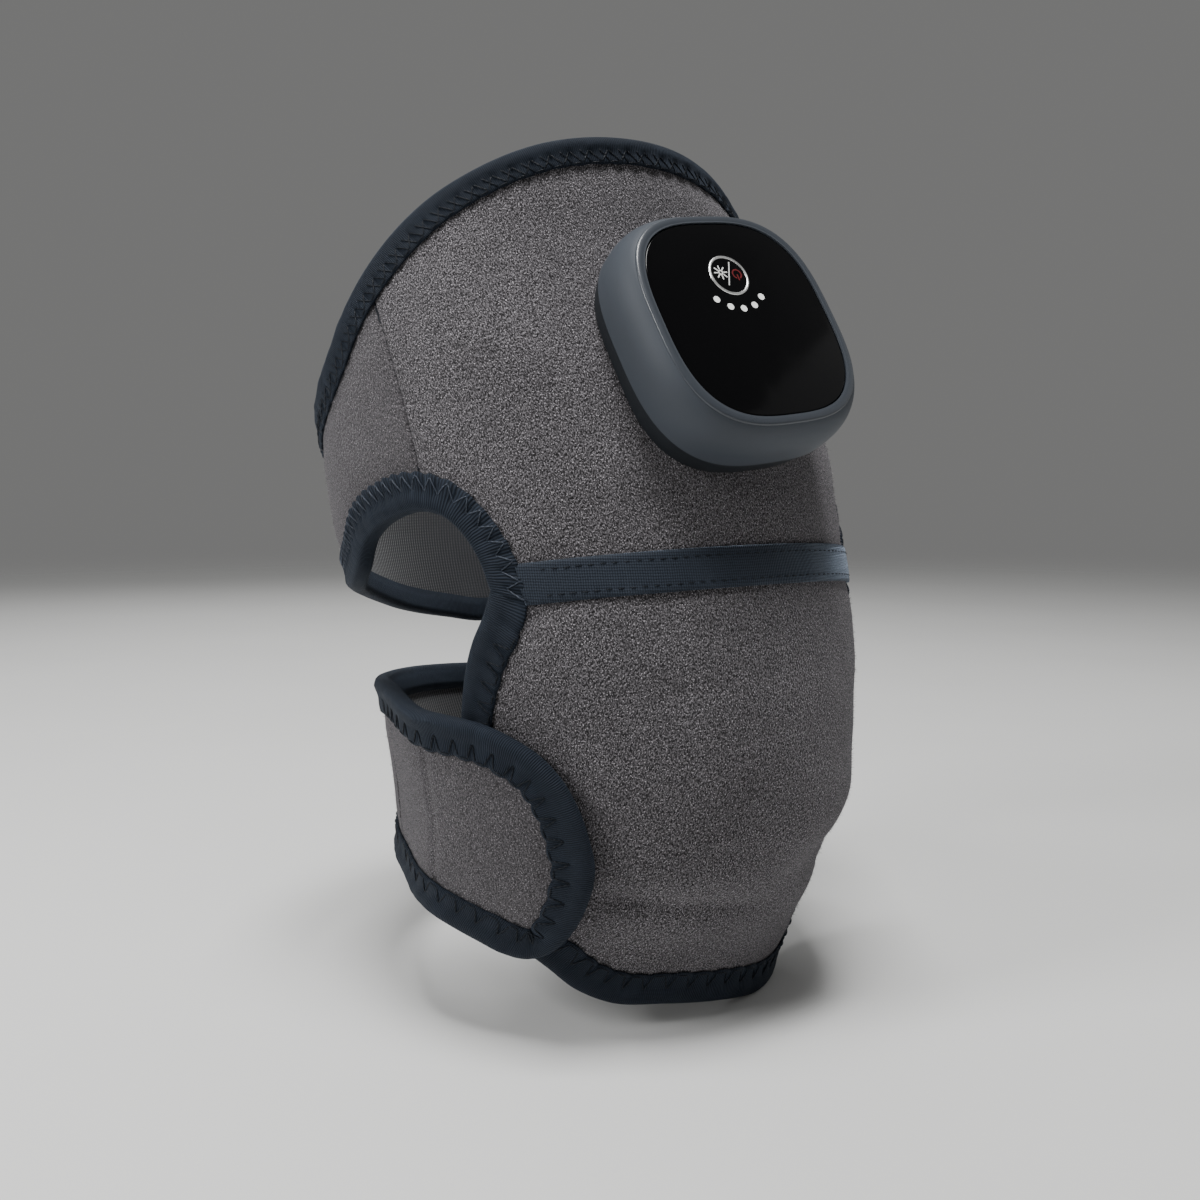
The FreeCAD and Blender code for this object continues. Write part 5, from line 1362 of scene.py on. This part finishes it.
def fibres(cloth, count, seed):
    """Short loose fibres that stand up from a cloth's outer side."""
    dice = np.random.default_rng(seed)
    mesh = cloth.data
    points = np.empty(len(mesh.vertices) * 3, np.float32)
    mesh.vertices.foreach_get("co", points)
    points = points.reshape(-1, 3)
    corners = np.array([face.vertices[:] for face in mesh.polygons[:BACKS[cloth.name].start]])
    a, b, c, d = (points[corners[:, k]].astype(float) for k in range(4))
    normals = np.cross(c - a, d - b)
    size = np.linalg.norm(normals, axis=1)
    pick = dice.choice(len(corners), count, p=size / size.sum())
    u, v = dice.uniform(0, 1, (2, count, 1))
    root = (a[pick] * (1 - u) + b[pick] * u) * (1 - v) + (d[pick] * (1 - u) + c[pick] * u) * v
    up = (normals / size[:, None])[pick]
    lean = dice.normal(0, 0.75, (count, 3))
    way = up + lean - (lean * up).sum(1, keepdims=True) * up
    way /= np.linalg.norm(way, axis=1, keepdims=True)
    side = np.cross(way, dice.normal(0, 1, (count, 3)))
    side /= np.linalg.norm(side, axis=1, keepdims=True)
    length = dice.gamma(3.0, 0.20, (count, 1)) * mm
    tips = root + way * np.minimum(length, 1.5 * mm)
    foot, half = root - up * 0.1 * mm, side * 0.045 * mm
    corners = np.stack([foot - half, foot + half, tips], 1)
    index = np.arange(count * 3).reshape(-1, 3)
    return mesh_piece(cloth.name + "_fibres", corners, index.tolist(), corners.reshape(-1, 3)[:, :2])


def seam_thread_and_shadow(side):
    """The sunk row of thread where a strap is sewn to the panel, laid as one unbroken dark cord that also
    stands in for the seam's shadow as painted shade.
    """
    height = np.linspace(SEAM[0][1] + 6, SEAM[-1][1] - 7, 90)
    twist = height * 2.6
    path = on_leg(side * seam_angle(height) + 0.10 * np.sin(twist), height, -0.5 + 0.1 * np.cos(twist))
    return thread_piece("left_seam_thread_and_shadow" if side > 0 else "right_seam_thread_and_shadow", [path], SEAM_THREAD_AND_SHADOW)


def tape_length(tape):
    """A tape's own length in metres, read from the lie of its cloth."""
    lie = np.empty(len(tape.data.loops) * 2, np.float32)
    tape.data.uv_layers["lie"].data.foreach_get("uv", lie)
    return float(np.ptp(lie[::2]))


def pod():
    """The pod's outer pieces that are modelled here, on the finished CAD nodes."""
    smooth_slate, gloss = nodes_finished()
    dressed(glossy_face(), gloss, "wrap", ["touch_panel"])
    bright = metal("ring_metal", (0.92, 0.92, 0.91), 0.34)
    dressed(button_ring(), bright, "wrap", ["button_bezel_ring"])
    dressed(rim_lip(), smooth_slate, "wrap")


def aimed(name, data, place, target):
    """A light or camera at a place, turned towards a target."""
    holder = bpy.data.objects.new(name, data)
    holder.location = place
    holder.rotation_euler = (Vector(target) - Vector(place)).to_track_quat("-Z", "Y").to_euler()
    bpy.context.scene.collection.objects.link(holder)
    return holder


def studio():
    """Pale floor, soft lights and the camera."""
    deselected()
    low = cad_box[0][2] - 0.0006
    bpy.ops.mesh.primitive_circle_add(vertices=96, radius=9.0, fill_type="NGON", location=(0, 0, low))
    floor = bpy.context.object
    floor.name = "floor"
    f = Finish("pale_floor")
    cloud = f.noise(f.place(), 6.0, 3.0)
    away = f.vectors("LENGTH", f.place(), output=1)
    floor.data.materials.append(f.surface(
        Base_Color=f.mix(cloud, (0.66, 0.66, 0.65, 1), (0.72, 0.72, 0.71, 1)), Roughness=0.7,
        Alpha=1 - away.fade(0.5, 2.2)))
    world = bpy.data.worlds.new("studio")
    world.use_nodes = True
    sky = world.node_tree.nodes["Background"].inputs
    sky["Color"].default_value, sky["Strength"].default_value = (0.80, 0.80, 0.79, 1), 0.22
    bpy.context.scene.world = world
    for name, place, size, power in (
            ("key", (-0.85, 0.08, 0.46), 0.3, 6.2), ("overhead", (-0.12, -0.17, 1.08), 0.4, 16.5),
            ("fill", (0.9, -0.5, 0.35), 0.9, 0.8), ("back", (0.2, 0.9, 0.6), 0.9, 3.0)):
        lamp = bpy.data.lights.new(name, "AREA")
        lamp.shape, lamp.size, lamp.energy = "SQUARE", size, power
        aimed(name, lamp, place, (0, 0, 0))
    lens = bpy.data.cameras.new("camera")
    lens.lens, lens.sensor_width, lens.clip_start = 36.9, 36.0, 0.01
    place, target = (-0.20187, -0.29062, 0.02287), (0.004137, 0.0, -0.013863)
    bpy.context.scene.camera = aimed("camera", lens, place, target)


studio()
pod()
soft_goods()
